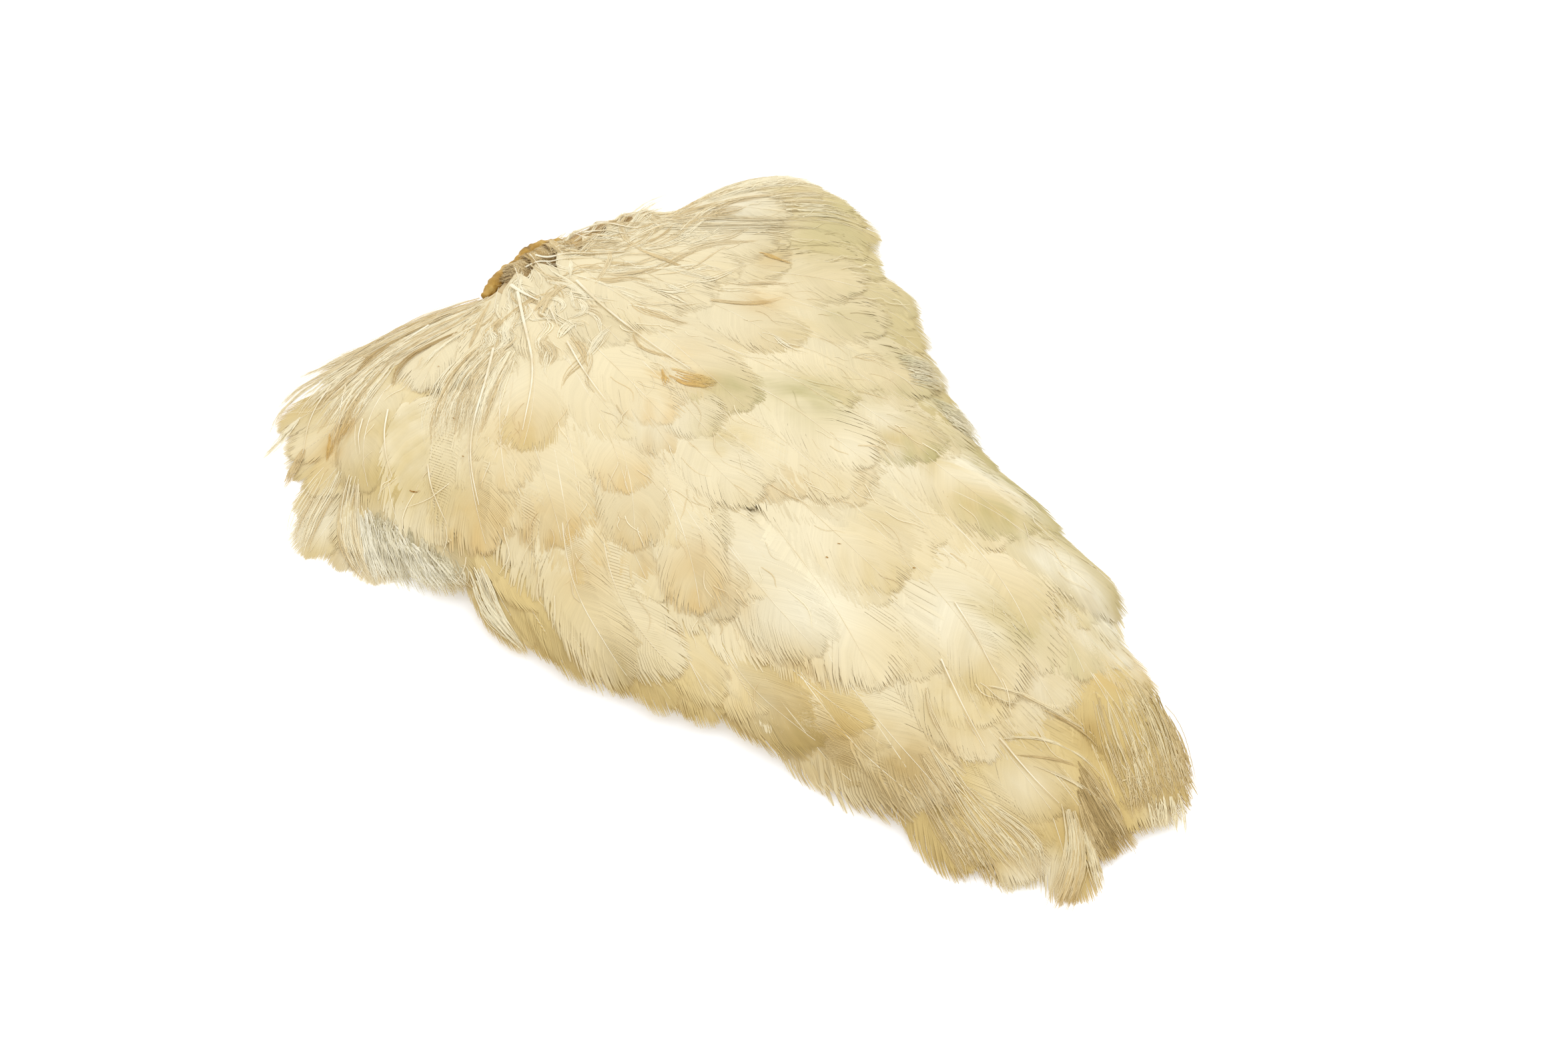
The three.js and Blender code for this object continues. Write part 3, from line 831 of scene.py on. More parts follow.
def new_material(name, roughness):
    material = bpy.data.materials.new(name)
    material.use_nodes = True
    surface = material.node_tree.nodes["Principled BSDF"]
    surface.inputs["Roughness"].default_value = roughness
    surface.inputs["Specular IOR Level"].default_value = SOFT_SPECULAR
    return material, material.node_tree, surface


def group_tree(name, colours, values=()):
    """A new node group with one socket for each colour and value that goes in."""
    tree = bpy.data.node_groups.new(name, "ShaderNodeTree")
    for socket in colours:
        tree.interface.new_socket(socket, in_out="INPUT", socket_type="NodeSocketColor")
    for socket in values:
        tree.interface.new_socket(socket, in_out="INPUT", socket_type="NodeSocketFloat")
    tree.interface.new_socket("Colour", in_out="OUTPUT", socket_type="NodeSocketColor")
    return tree, tree.nodes.new("NodeGroupInput").outputs


def placed_group(tree, group, given):
    """Places a node group in a material and sets its sockets to the given values."""
    node = tree.nodes.new("ShaderNodeGroup")
    node.node_tree = group
    for socket, value in given.items():
        node.inputs[socket].default_value = (*value, 1) if isinstance(value, tuple) else value
    return node.outputs


def attribute_node(tree, name):
    node = tree.nodes.new("ShaderNodeAttribute")
    node.attribute_type = "GEOMETRY"
    node.attribute_name = name
    return node


def noise(tree, scale, detail=2):
    """Noise in the solid of the piece, on Object coordinates."""
    coordinates = tree.nodes.new("ShaderNodeTexCoord")
    node = tree.nodes.new("ShaderNodeTexNoise")
    feed(tree, scale, node.inputs["Scale"])
    node.inputs["Detail"].default_value = detail
    tree.links.new(coordinates.outputs["Object"], node.inputs["Vector"])
    return node.outputs[0]


def grey(tree, value):
    node = tree.nodes.new("ShaderNodeCombineColor")
    for socket in ("Red", "Green", "Blue"):
        tree.links.new(value, node.inputs[socket])
    return node.outputs["Color"]


def mix_colour(tree, factor, first, second, blend="MIX"):
    node = tree.nodes.new("ShaderNodeMix")
    node.data_type = "RGBA"
    node.blend_type = blend
    feed(tree, factor, node.inputs[0])
    feed(tree, first, node.inputs[6])
    feed(tree, second, node.inputs[7])
    return node.outputs[2]


def map_range(tree, value, low, high, to_low, to_high):
    node = tree.nodes.new("ShaderNodeMapRange")
    node.interpolation_type = "SMOOTHSTEP"
    tree.links.new(value, node.inputs["Value"])
    for socket, number in (("From Min", low), ("From Max", high), ("To Min", to_low),
                           ("To Max", to_high)):
        node.inputs[socket].default_value = number
    return node.outputs["Result"]


def multiply(tree, first, second):
    node = tree.nodes.new("ShaderNodeMath")
    node.operation = "MULTIPLY"
    feed(tree, first, node.inputs[0])
    feed(tree, second, node.inputs[1])
    return node.outputs[0]


print("soft specular level", SOFT_SPECULAR)

# %% [markdown]
# One tint for every vane
#
# A real barb is paler at its base and riper towards the feather's tip, with cloudy patches and
# a few dark specks. Saddle, flank and tail differ only in their tones, so the mixing is built
# once as a node group, and each of the four materials gives it tones of its own.

# %% Plumage tint
# Share of the length over which a vane ripens
RIPENS = (0.5, 0.9)
SPECK_SCALE = 900
SPECK_EDGE = (0.76, 0.82)
SPECK_STRENGTH = 0.5
PATCH_SCALE = 110
PATCH_DETAIL = 4
PATCH_EDGE = (0.3, 0.62)
PATCH_LEAST = 0.3
# Darkest and brightest shade of a barb and of a feather
BARB_SHADES = (0.93, 1.04)
FEATHER_SHADES = (0.95, 1.02)


def plumage_group():
    stains = ("Tan", "Golden", "Olive", "Umber")
    tree, given = group_tree("plumage_tint", ("Base", "Middle", "Pale", *stains))
    result = tree.nodes.new("NodeGroupOutput")
    place = tree.nodes.new("ShaderNodeSeparateXYZ")
    tree.links.new(attribute_node(tree, "place").outputs["Vector"], place.inputs[0])
    grown = multiply(tree, map_range(tree, place.outputs["X"], *RIPENS, 0, 1),
                     attribute_node(tree, "ripe").outputs["Fac"])
    colour = mix_colour(tree, grown, given["Base"], given["Middle"])
    speckled = map_range(tree, noise(tree, SPECK_SCALE), *SPECK_EDGE, 0, SPECK_STRENGTH)
    colour = mix_colour(tree, speckled, colour, given["Umber"])
    pale = attribute_node(tree, "pale").outputs["Fac"]
    colour = mix_colour(tree, pale, colour, given["Pale"])
    clouds = noise(tree, PATCH_SCALE, PATCH_DETAIL)
    patchy = map_range(tree, clouds, *PATCH_EDGE, PATCH_LEAST, 1)
    for stain in stains:
        strength = multiply(tree, attribute_node(tree, stain.lower()).outputs["Fac"], patchy)
        colour = mix_colour(tree, strength, colour, given[stain])
    grain = attribute_node(tree, "grain").outputs["Fac"]
    streak = map_range(tree, grain, 0, 1, *BARB_SHADES)
    own_tone = attribute_node(tree, "own_tone").outputs["Fac"]
    own = map_range(tree, own_tone, 0, 1, *FEATHER_SHADES)
    shade = grey(tree, multiply(tree, streak, own))
    colour = mix_colour(tree, 1.0, colour, shade, "MULTIPLY")
    tree.links.new(colour, result.inputs["Colour"])
    return tree


plumage_tint = plumage_group()
VANE_ROUGHNESS = 0.6
STAINS = {"Pale": (0.93, 0.86, 0.65), "Golden": (0.67, 0.44, 0.14), "Umber": (0.46, 0.3, 0.085),
          "Olive": (0.51, 0.45, 0.195), "Tan": (0.61, 0.45, 0.14)}


def vane_material(name, base, middle):
    material, tree, surface = new_material(name, VANE_ROUGHNESS)
    tint = placed_group(tree, plumage_tint, {"Base": base, "Middle": middle, **STAINS})
    tree.links.new(tint["Colour"], surface.inputs["Base Color"])
    return material


saddle_vane = vane_material("saddle_vane", (0.84, 0.73, 0.475), (0.76, 0.62, 0.35))
left_vane = vane_material("left_vane", (0.76, 0.605, 0.295), (0.66, 0.49, 0.2))
right_vane = vane_material("right_vane", (0.77, 0.655, 0.385), (0.65, 0.525, 0.25))
tail_vane = vane_material("tail_vane", (0.745, 0.58, 0.255), (0.635, 0.465, 0.175))
print("vane materials share", len(plumage_tint.nodes), "nodes")

# %% [markdown]
# Horn of the shafts
#
# A shaft is smooth horn, clear in some places and milky in others. It is too thin for anything
# but a soft noise between two creams, with less roughness than the vanes so that it glints.

# %% Horn of the shafts
HORN_ROUGHNESS = 0.35
HORN_SCALE = 160
HORN_EDGE = (0.35, 0.65)
HORN_DULL = (0.82, 0.7, 0.45, 1)
HORN_CLEAR = (0.95, 0.88, 0.68, 1)


def horn_material():
    material, tree, surface = new_material("shaft_horn", HORN_ROUGHNESS)
    clear = map_range(tree, noise(tree, HORN_SCALE), *HORN_EDGE, 0, 1)
    colour = mix_colour(tree, clear, HORN_DULL, HORN_CLEAR)
    tree.links.new(colour, surface.inputs["Base Color"])
    return material


shaft_horn = horn_material()
print("horn of", len(shaft_horn.node_tree.nodes), "nodes")

# %% [markdown]
# Small feathers in between
#
# Under each large feather a real patch has several that show only as an edge or a tip. Planting
# them by hand would take a very long list, so each is set beside its large one at random, a
# few millimetres aside and shifted a little along it. Where it would stick out of the outline
# that the large ones make together, another place is tried.

# %% Feathers between the large ones
footprint = np.zeros((MAP_SIDE, MAP_SIDE), bool)
TRIES = 6
UNDER = 0.12
# Millimetres aside, and along the large feather at the root and at the tip
ASIDE = (3, 8)
ROOT_SHIFT = (-3, 6)
TIP_SHIFT = (-6, 3)
ROOT_ASIDE = 0.7
WIDER = (1, 1.2)
# The outer part of the feather, and the share of it that must lie inside
OUTER_STATION = 8
LEAST_INSIDE = 0.985


def mark_footprint(plan):
    along, across = np.meshgrid(FINE_STATIONS, FINE_PLACES, indexing="ij")
    place = on_plan(plan, along, across * half_at(plan, along))
    footprint[cells(place[..., 1]), cells(place[..., 0])] = True


def neighbour_of(row, profile, widen):
    """A feather beside and under the given one, or nothing where it would stick out."""
    root = np.array(row[:2], float)
    tip = np.array(row[2:4], float)
    width, bow = row[4:6]
    forward = (tip - root) / np.linalg.norm(tip - root)
    left = np.array((-forward[1], forward[0]))
    for _ in range(TRIES):
        sideways = rng.choice((-1, 1)) * rng.uniform(*ASIDE)
        new_root = root + forward * rng.uniform(*ROOT_SHIFT) + left * sideways * ROOT_ASIDE
        new_tip = tip + forward * rng.uniform(*TIP_SHIFT) + left * sideways
        new_width = width * rng.uniform(*WIDER)
        plan = plan_feather((*new_root, *new_tip, new_width, bow, "tan", 0.2), profile, widen)
        plan["below"] = UNDER
        place = grid_of(plan)[OUTER_STATION:]
        inside = footprint[cells(place[..., 1]), cells(place[..., 0])]
        if inside.mean() > LEAST_INSIDE:
            return plan
    return None


print("up to", TRIES, "places are tried for a small feather")

# %% Lay every feather, from the lowest up
# Name, rows, outline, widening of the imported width, style, material and slot
TRACTS = [
    ("left_flank_between", halfway_rows(LEFT_FLANK_FEATHERS), ROUND_VANE, 0.85, FLANK_STYLE,
     left_vane, "flank_feathers"),
    ("right_flank_between", halfway_rows(RIGHT_FLANK_FEATHERS), ROUND_VANE, 1, FLANK_STYLE,
     right_vane, "flank_feathers"),
    ("tail_feather", TAIL_FEATHERS, WORN_VANE, 1, TAIL_STYLE, tail_vane, "tail_feathers"),
    ("rear_saddle_feather", REAR_SADDLE_FEATHERS, ROUND_VANE, 1.25, SADDLE_STYLE, saddle_vane,
     "saddle_feathers"),
    ("left_flank_feather", LEFT_FLANK_FEATHERS, ROUND_VANE, 0.97, FLANK_STYLE, left_vane,
     "flank_feathers"),
    ("right_flank_feather", RIGHT_FLANK_FEATHERS, ROUND_VANE, 1.06, FLANK_STYLE, right_vane,
     "flank_feathers"),
    ("mid_saddle_feather", MID_SADDLE_FEATHERS, ROUND_VANE, 1.3, SADDLE_STYLE, saddle_vane,
     "saddle_feathers"),
    ("front_saddle_feather", FRONT_SADDLE_FEATHERS, ROUND_VANE, 1.35, SADDLE_STYLE, saddle_vane,
     "saddle_feathers"),
    ("upper_feather", UPPER_FEATHERS, ROUND_VANE, 1.35, SADDLE_STYLE, saddle_vane,
     "saddle_feathers"),
    ("collar_feather", COLLAR_FEATHERS, ROUND_VANE, 1.1, COLLAR_STYLE, saddle_vane,
     "saddle_feathers"),
]
# Small feathers set beside each one of a tract
BESIDE = {"left_flank_between": 0, "right_flank_between": 0, "tail_feather": 2,
          "rear_saddle_feather": 2, "left_flank_feather": 1, "right_flank_feather": 1,
          "mid_saddle_feather": 2, "front_saddle_feather": 2, "upper_feather": 1,
          "collar_feather": 0}
# Millimetres by which the tip of a feather lies below the others, or above when negative
LOWERED = {"left_flank_feather_05": 0.8, "left_flank_feather_06": 1.4,
           "left_flank_feather_07": 1.4, "left_flank_feather_08": 0.8,
           "right_flank_feather_01": -0.4}
SHAFT_THICK = (0.03, 0.1)
SMOOTH_TO = math.radians(40)


def settle(piece):
    """The whole patch is one body, so every piece rides on its root."""
    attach(piece, "root")


def finished_feather(name, plan, style, surface, material, comb):
    plan["own"] = rng.random()
    vane, shaft = lay_feather(name, comb, plan, style, surface,
                              rng.uniform(*SHAFT_THICK), plumage_tints)
    vane.data.materials.append(material)
    shaft.data.materials.append(shaft_horn)
    feather = join(name, vane, shaft)
    only(feather)
    bpy.ops.object.shade_smooth_by_angle(angle=SMOOTH_TO)
    settle(feather)
    feathers.append(feather)
    return feather


for _, rows, profile, widen, *_ in TRACTS:
    for row in rows:
        mark_footprint(plan_feather(row, profile, widen))
for tract, rows, profile, widen, style, material, slot in TRACTS:
    beneath = 0
    for i, row in enumerate(rows):
        node = f"{tract}_{i + 1:02d}"
        for _ in range(BESIDE[tract]):
            beside = neighbour_of(row, profile, widen)
            if beside:
                beneath += 1
                finished_feather(f"{tract}_under_{beneath:02d}", beside, style, draped(beside),
                                 material, sparse_comb)
        plan = plan_feather(row, profile, widen)
        plan["below"] = LOWERED.get(node, 0)
        comb = sparse_comb if tract.endswith("between") else barb_comb
        feather = finished_feather(node + "_vane", plan, style, draped(plan), material, comb)
        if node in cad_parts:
            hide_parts(node)
    print(tract, len(rows), "large and", beneath, "beneath")
print(len(feathers), "feathers laid")

# %% [markdown]
# Matted down and loose locks
#
# Between and over the whole feathers the plumage is worn to soft locks. Each lock is a bundle
# of fine flat strands along a guide line, laid over what is there already. Hundreds of guides
# can't be drawn one by one, so where many locks run side by side, two edges are drawn and the
# guides are spread between them. At the front the guides follow a flow that leaves the skin
# like a fan and swirls a little.

# %% Guides of the locks
STRAND_RINGS = 8
FAN_CENTRE = (-82, 7)
FAN_TURN = 1.25
FAN_LIMIT = 1.75
FLOW_WAVE = 1.6
WAVE_LENGTH = 5
CURL_CENTRE = (-58, 2)
CURL_REACH = 16
# Waves of the swirls, in radians to the millimetre
CURL_ACROSS = 0.6
CURL_ALONG = 0.45
CURL_BEND = 0.3
CURL_SWING = 1.5
CURL_START = 0.8
GUIDE_WANDER = 0.3
GUIDE_SLACK = (0.2, 0.8)


def curl_at(place):
    """Extra turn of the flow, in radians, where the down swirls."""
    x, y = place[:, 0], place[:, 1]
    near = np.exp(-((x - CURL_CENTRE[0]) ** 2 + (y - CURL_CENTRE[1]) ** 2) / CURL_REACH ** 2)
    across = np.sin(x * CURL_ACROSS + CURL_SWING * np.sin(y * CURL_BEND))
    return near * across * np.cos(y * CURL_ALONG + CURL_START)


def flow_guides(starts, lengths, wander, curl):
    place = starts.copy()
    line = [place.copy()]
    turn = rng.normal(0, wander, len(starts))
    phase = rng.uniform(0, 2 * math.pi, len(starts))
    for ring in range(1, STRAND_RINGS):
        bearing = np.arctan2(place[:, 1] - FAN_CENTRE[1], place[:, 0] - FAN_CENTRE[0])
        heading = np.clip(bearing * FAN_TURN, -FAN_LIMIT, FAN_LIMIT) + turn
        wave = FLOW_WAVE * wander * np.sin(phase + WAVE_LENGTH * ring / STRAND_RINGS)
        heading += wave + curl * curl_at(place)
        step = lengths / (STRAND_RINGS - 1)
        place = place + step[:, None] * np.stack((np.cos(heading), np.sin(heading)), -1)
        line.append(place.copy())
    return np.stack(line, 1)


def drawn_guide(points, count=STRAND_RINGS, rounds=2):
    """Evenly spaced and rounded places along a line given by a few points."""
    points = np.array(points, float)
    steps = np.linalg.norm(np.diff(points, axis=0), axis=1)
    at = np.concatenate(((0,), np.cumsum(steps))) / steps.sum()
    share = np.linspace(0, 1, count)
    dense = np.stack([np.interp(share, at, points[:, k]) for k in (0, 1)], -1)
    for _ in range(rounds):
        dense[1:-1] = (dense[:-2] + 2 * dense[1:-1] + dense[2:]) / 4
    return dense


def spread_between(first, second, count):
    """Guides spread from one drawn edge of a tuft to the other."""
    share = ((np.arange(count) + rng.uniform(*GUIDE_SLACK, count)) / count)[:, None, None]
    guides = drawn_guide(first)[None] * (1 - share) + drawn_guide(second)[None] * share
    return guides + rng.normal(0, GUIDE_WANDER, (count, 1, 2))


print("guides of", STRAND_RINGS, "places, fanned from", FAN_CENTRE)

# %% Strands on a guide
STRAND_RADII = (0.04, 0.1)
STRAND_FLAT = 0.15
STRAND_SIDES = 3
STRAND_LIFT = 0.05
STRAND_ENDS_FROM = 0.7
STRAND_TAPER = 0.75
STEEPEST = 0.6
LOCK_SPREADS = (0.5, 1.3)
LOCK_OPEN = 0.4
LOCK_BULGE = 0.8
WAVES = (3, 8)
TONE_WANDER_IN_LOCK = 0.07
GRAIN_WANDER = 0.2


def over_laid(place):
    """Height over the map, where no line falls more steeply than a strand bends."""
    found = laid[cells(place[..., 1]), cells(place[..., 0])]
    height = found.copy()
    steps = np.linalg.norm(np.diff(place, axis=1), axis=-1)
    for ring in range(1, place.shape[1]):
        height[:, ring] = np.maximum(height[:, ring],
                                     height[:, ring - 1] - STEEPEST * steps[:, ring - 1])
    for ring in range(place.shape[1] - 2, -1, -1):
        height[:, ring] = np.maximum(height[:, ring],
                                     height[:, ring + 1] - STEEPEST * steps[:, ring])
    return height


def strands_of(guides, tones, strands, spread, wave, rise, start_by=0.25):
    """Lays strands along each guide, with the tone of their lock and a grain of their own.

    The spread, the wave and the rise over what was laid are in millimetres. A strand begins
    within the first start_by of its guide.
    """
    lines = np.repeat(guides, strands, axis=0)
    count = len(lines)
    share = np.linspace(0, 1, STRAND_RINGS)[None]
    start = rng.uniform(0, start_by, count)[:, None]
    end = rng.uniform(STRAND_ENDS_FROM, 1, count)[:, None]
    at = (start + (end - start) * share) * (STRAND_RINGS - 1)
    low = np.minimum(at.astype(int), STRAND_RINGS - 2)
    rest = (at - low)[..., None]
    each = np.arange(count)[:, None]
    place = lines[each, low] * (1 - rest) + lines[each, low + 1] * rest
    slope = unit(np.gradient(place, axis=1))
    side = np.stack((-slope[..., 1], slope[..., 0]), -1)
    lock_spread = np.repeat(rng.uniform(*LOCK_SPREADS, len(guides)), strands)[:, None] * spread
    bundle = LOCK_OPEN + (1 - LOCK_OPEN) * np.sin(math.pi * share ** LOCK_BULGE)
    away = rng.normal(0, 1, count)[:, None] * lock_spread * bundle
    away = away + wave * np.sin(rng.uniform(0, 6.3, count)[:, None]
                                + rng.uniform(*WAVES, count)[:, None] * share) * share
    place = place + side * away[..., None]
    height = over_laid(place)
    height = height + rise * rng.random(count)[:, None] * np.sin(math.pi * share) + STRAND_LIFT
    radius = rng.uniform(*STRAND_RADII, count)[:, None] * (1 - STRAND_TAPER * share ** 3)
    tone = np.repeat(np.broadcast_to(tones, (len(guides),)), strands)
    return {"middle": np.concatenate((place, height[..., None]), -1), "radius": radius,
            "tone": np.clip(tone + rng.normal(0, TONE_WANDER_IN_LOCK, count), 0, 1),
            "grain": np.clip(rng.normal(0.5, GRAIN_WANDER, count), 0, 1)}


print("strands of", STRAND_RINGS, "rings and", STRAND_SIDES, "sides")


# %% Bundles of strands
def tuft(edges, count, tones, strands, spread, wave, rise, start_by=0.4):
    """A field of locks between two drawn edges."""
    guides = spread_between(*edges, count)
    tones = rng.uniform(*tones, count)
    return strands_of(guides, tones, strands, spread, wave, rise, start_by)


def drawn_locks(rows, strands, spread, wave, rise, start_by=0.25, tone_share=1):
    """Locks drawn one by one, each row with its tone and its places."""
    guides = np.stack([drawn_guide(points) for _, points in rows])
    tones = [tone * tone_share for tone, _ in rows]
    return strands_of(guides, tones, strands, spread, wave, rise, start_by)


locks = []


def lay_strands(name, bundles, material):
    joined = {key: np.concatenate([bundle[key] for bundle in bundles]) for key in bundles[0]}
    comb = comb_of_rods(name + "_comb", len(joined["middle"]), STRAND_RINGS, STRAND_SIDES)
    piece = lay_comb(comb, name, joined["middle"], joined["radius"],
                     joined["radius"] * STRAND_FLAT)
    ring = comb["ring"]
    rods = (len(joined["tone"]), len(ring))
    write_value(piece, "lock_tone", np.broadcast_to(joined["tone"][:, None], rods))
    write_value(piece, "grain", np.broadcast_to(joined["grain"][:, None], rods))
    corners = plan_corners(piece)
    write_value(piece, "golden", spots_at(GOLDEN_SPOTS, corners))
    write_value(piece, "olive", spots_at(OLIVE_SPOTS, corners))
    bpy.data.objects.remove(comb["rod"])
    piece.data.materials.append(material)
    settle(piece)
    locks.append(piece)
    print(name, len(joined["tone"]), "strands")


# %% [markdown]
# Colour of the locks
#
# Down is paler than the vanes and matted down is browner. Each strand carries one tone, from
# pale through tan to brown, and one grain. The mixing is a node group again, because the front,
# the wings, the tail and the orange tips differ only in their three tones.

# %% Tint of the locks
LOCK_ROUGHNESS = 0.65
# Tones of the lock over which pale turns to tan, and tan to brown
TAN_TONES = (0.1, 0.6)
BROWN_TONES = (0.6, 1)
STRAND_SHADES = (0.88, 1.05)


def lock_group():
    tree, given = group_tree("lock_tint", ("Pale", "Tan", "Brown", "Golden", "Olive"))
    result = tree.nodes.new("NodeGroupOutput")
    tone = attribute_node(tree, "lock_tone").outputs["Fac"]
    tan = map_range(tree, tone, *TAN_TONES, 0, 1)
    brown = map_range(tree, tone, *BROWN_TONES, 0, 1)
    colour = mix_colour(tree, tan, given["Pale"], given["Tan"])
    colour = mix_colour(tree, brown, colour, given["Brown"])
    for stain in ("Golden", "Olive"):
        strength = attribute_node(tree, stain.lower()).outputs["Fac"]
        colour = mix_colour(tree, strength, colour, given[stain])
    grain = attribute_node(tree, "grain").outputs["Fac"]
    shade = grey(tree, map_range(tree, grain, 0, 1, *STRAND_SHADES))
    colour = mix_colour(tree, 1.0, colour, shade, "MULTIPLY")
    tree.links.new(colour, result.inputs["Colour"])
    return tree


lock_tint = lock_group()


def lock_material(name, pale, tan, brown):
    material, tree, surface = new_material(name, LOCK_ROUGHNESS)
    tint = placed_group(tree, lock_tint, {"Pale": pale, "Tan": tan, "Brown": brown,
                                          "Golden": STAINS["Golden"], "Olive": STAINS["Olive"]})
    tree.links.new(tint["Colour"], surface.inputs["Base Color"])
    return material


front_lock = lock_material("front_lock", (0.94, 0.85, 0.6), (0.74, 0.58, 0.31),
                           (0.48, 0.32, 0.12))
wing_lock = lock_material("wing_lock", (0.92, 0.83, 0.58), (0.69, 0.53, 0.27),
                          (0.45, 0.3, 0.11))
white_down = lock_material("white_down", (0.93, 0.87, 0.68), (0.74, 0.66, 0.44),
                           (0.48, 0.41, 0.23))
orange_lock = lock_material("orange_lock", (0.84, 0.66, 0.33), (0.72, 0.46, 0.15),
                            (0.42, 0.22, 0.05))
tail_lock = lock_material("tail_lock", (0.86, 0.75, 0.48), (0.62, 0.46, 0.21),
                          (0.37, 0.25, 0.09))
print("lock materials share", len(lock_tint.nodes), "nodes")

# %% [markdown]
# Down at the front
#
# Behind the cut edge the down is matted into short locks that swirl around the shafts. Most
# follow the flow by themselves, and the few large swirls that catch the eye are drawn one by one.
# Single loose barbs lie over the feathers further back, so that the shingles don't look
# combed.

# %% Matted down at the front
FLOW_LOCKS = 170
FLOW_LENGTHS = (6, 17)
FLOW_WANDER = 0.2
FLOW_CURL = 1.1
EDGE_Y = (-6, 36)
EDGE_INSET = 0.8
INSET_GAMMA = (1.5, 6)
FRONT_TONES = (0.05, 0.2, 0.4, 0.6)
FRONT_SHARES = (0.35, 0.3, 0.2, 0.15)
# Tone from 0, pale, to 1, brown, and places along each lock
SWIRLS = [
    (0.5, [(-61, 0.5), (-64.4, 4.1), (-66.7, 6.3), (-66.2, 8.3), (-67.7, 10.1)]),
    (0.5, [(-63.5, 0.8), (-65.7, 5.2), (-66.9, 9.2), (-66.4, 11.6)]),
    (0.42, [(-54.4, -3.7), (-51.3, -3.6), (-48.3, -4.8), (-47, -6.6)]),
    (0.15, [(-45, -0.1), (-47.4, 3.3), (-48.9, 6.2), (-50.1, 8.6)]),
    (0.2, [(-61.3, 8.8), (-56.2, 8), (-56.5, 6.3), (-56.8, 3.2)]),
    (0.15, [(-52.4, -1.1), (-55.2, 2.3), (-55.1, 4.9), (-52.2, 5.1)]),
    (0.44, [(-72, 21.9), (-68.9, 20.9), (-66.2, 16.9), (-63.8, 13.7)]),
    (0.44, [(-66.5, 16.6), (-63.9, 19.2), (-62.2, 23.5), (-61.9, 27.8)]),
    (0.6, [(-68.2, 26.3), (-64.9, 27.5), (-61.3, 29), (-58.1, 29.9)]),
    (0.6, [(-66.4, 6.4), (-67.7, 3.6), (-67.4, 0.2), (-66.2, -3.2), (-63.3, -10.7)]),
    (0.56, [(-73.2, -2.4), (-70.7, -6), (-66.2, -9.9), (-62.4, -13.8)]),
    (0.12, [(-66, 4), (-64, 6.3), (-60.5, 5.7), (-59.5, 3)]),
    (0.08, [(-70, 7.5), (-66, 10.5), (-61, 10.5), (-58, 8)]),
    (0.1, [(-73.1, 14.7), (-70.7, 13.1), (-67.6, 10.9)]),
    (0.5, [(-77.2, 30.5), (-77.5, 28), (-74.4, 26.6), (-70.8, 25.7), (-66.5, 27.1)]),
    (0.45, [(-75.2, 15.4), (-74, 20.8), (-71.9, 24.6), (-68.8, 27)]),
    (0.4, [(-77, 33.8), (-74.8, 31.8), (-71.9, 33.5), (-69.3, 36.8), (-67.1, 41.5), (-63, 46)]),
]
# Brown down matted along the inner side of the crust
EDGE_DOWN = ([(-78.6, 0.5), (-76.5, 2), (-74, 3)], [(-81.2, 17.5), (-78.8, 17.5), (-76, 17)])


def front_edge(y):
    """Plan place of the skin's front edge at each y."""
    found = []
    for value in np.atleast_1d(y):
        row = skin_top[cells(np.array(value))]
        found.append((np.flatnonzero(row > 0)[0] + 0.5) * MAP_CELL - MAP_REACH)
    return np.stack((np.array(found), np.atleast_1d(y)), -1)


edge_places = front_edge(rng.uniform(*EDGE_Y, FLOW_LOCKS))
edge_places[:, 0] += EDGE_INSET + rng.gamma(*INSET_GAMMA, FLOW_LOCKS)
flow = flow_guides(edge_places, rng.uniform(*FLOW_LENGTHS, FLOW_LOCKS), FLOW_WANDER, FLOW_CURL)
front_tones = rng.choice(FRONT_TONES, FLOW_LOCKS, p=FRONT_SHARES)
lay_strands("saddle_front_down", [
    strands_of(flow, front_tones, 8, 0.45, 0.2, 0.06),
    tuft(EDGE_DOWN, 60, (0.5, 1), 9, 0.5, 0.5, 0.06, 0.3),
], front_lock)
lay_strands("saddle_swirls", [
    drawn_locks(SWIRLS, 26, 0.45, 0.15, 0.12),
], front_lock)

# %% Loose barbs over the saddle
LOOSE_BARBS = 320
LOOSE_LENGTHS = (4, 11)
LOOSE_SPREAD = 4
LOOSE_WANDER = 0.25
LOOSE_ALONG = (0.5, 0.95)
LOOSE_TONES = (0, 0.5)
# They lie over the flanks, the mid and front saddle and the collar, not over the tail
FIRST_LOOSE_TRACT = 4
spines = [on_plan(plan_feather(row, profile), rng.uniform(*LOOSE_ALONG, 1), np.zeros(1))[0]
          for _, rows, profile, *_ in TRACTS[FIRST_LOOSE_TRACT:] for row in rows]
starts = np.array(spines)[rng.integers(0, len(spines), LOOSE_BARBS)]
starts += rng.normal(0, LOOSE_SPREAD, (LOOSE_BARBS, 2))
loose = flow_guides(starts, rng.uniform(*LOOSE_LENGTHS, LOOSE_BARBS), LOOSE_WANDER, 0)
loose = loose[footprint[cells(loose[..., 1]), cells(loose[..., 0])].all(axis=1)]
lay_strands("loose_barbs", [
    strands_of(loose, rng.uniform(*LOOSE_TONES, len(loose)), 1, 0.3, 0.4, 0.1),
], front_lock)

# %% [markdown]
# The two wings of the patch
#
# At the front corners the feathers end in long curved locks, with white down beside them. No
# rule gives their hooks and gaps, so the main ones are drawn one by one, and the fields of
# finer locks between them are spread between drawn edges.

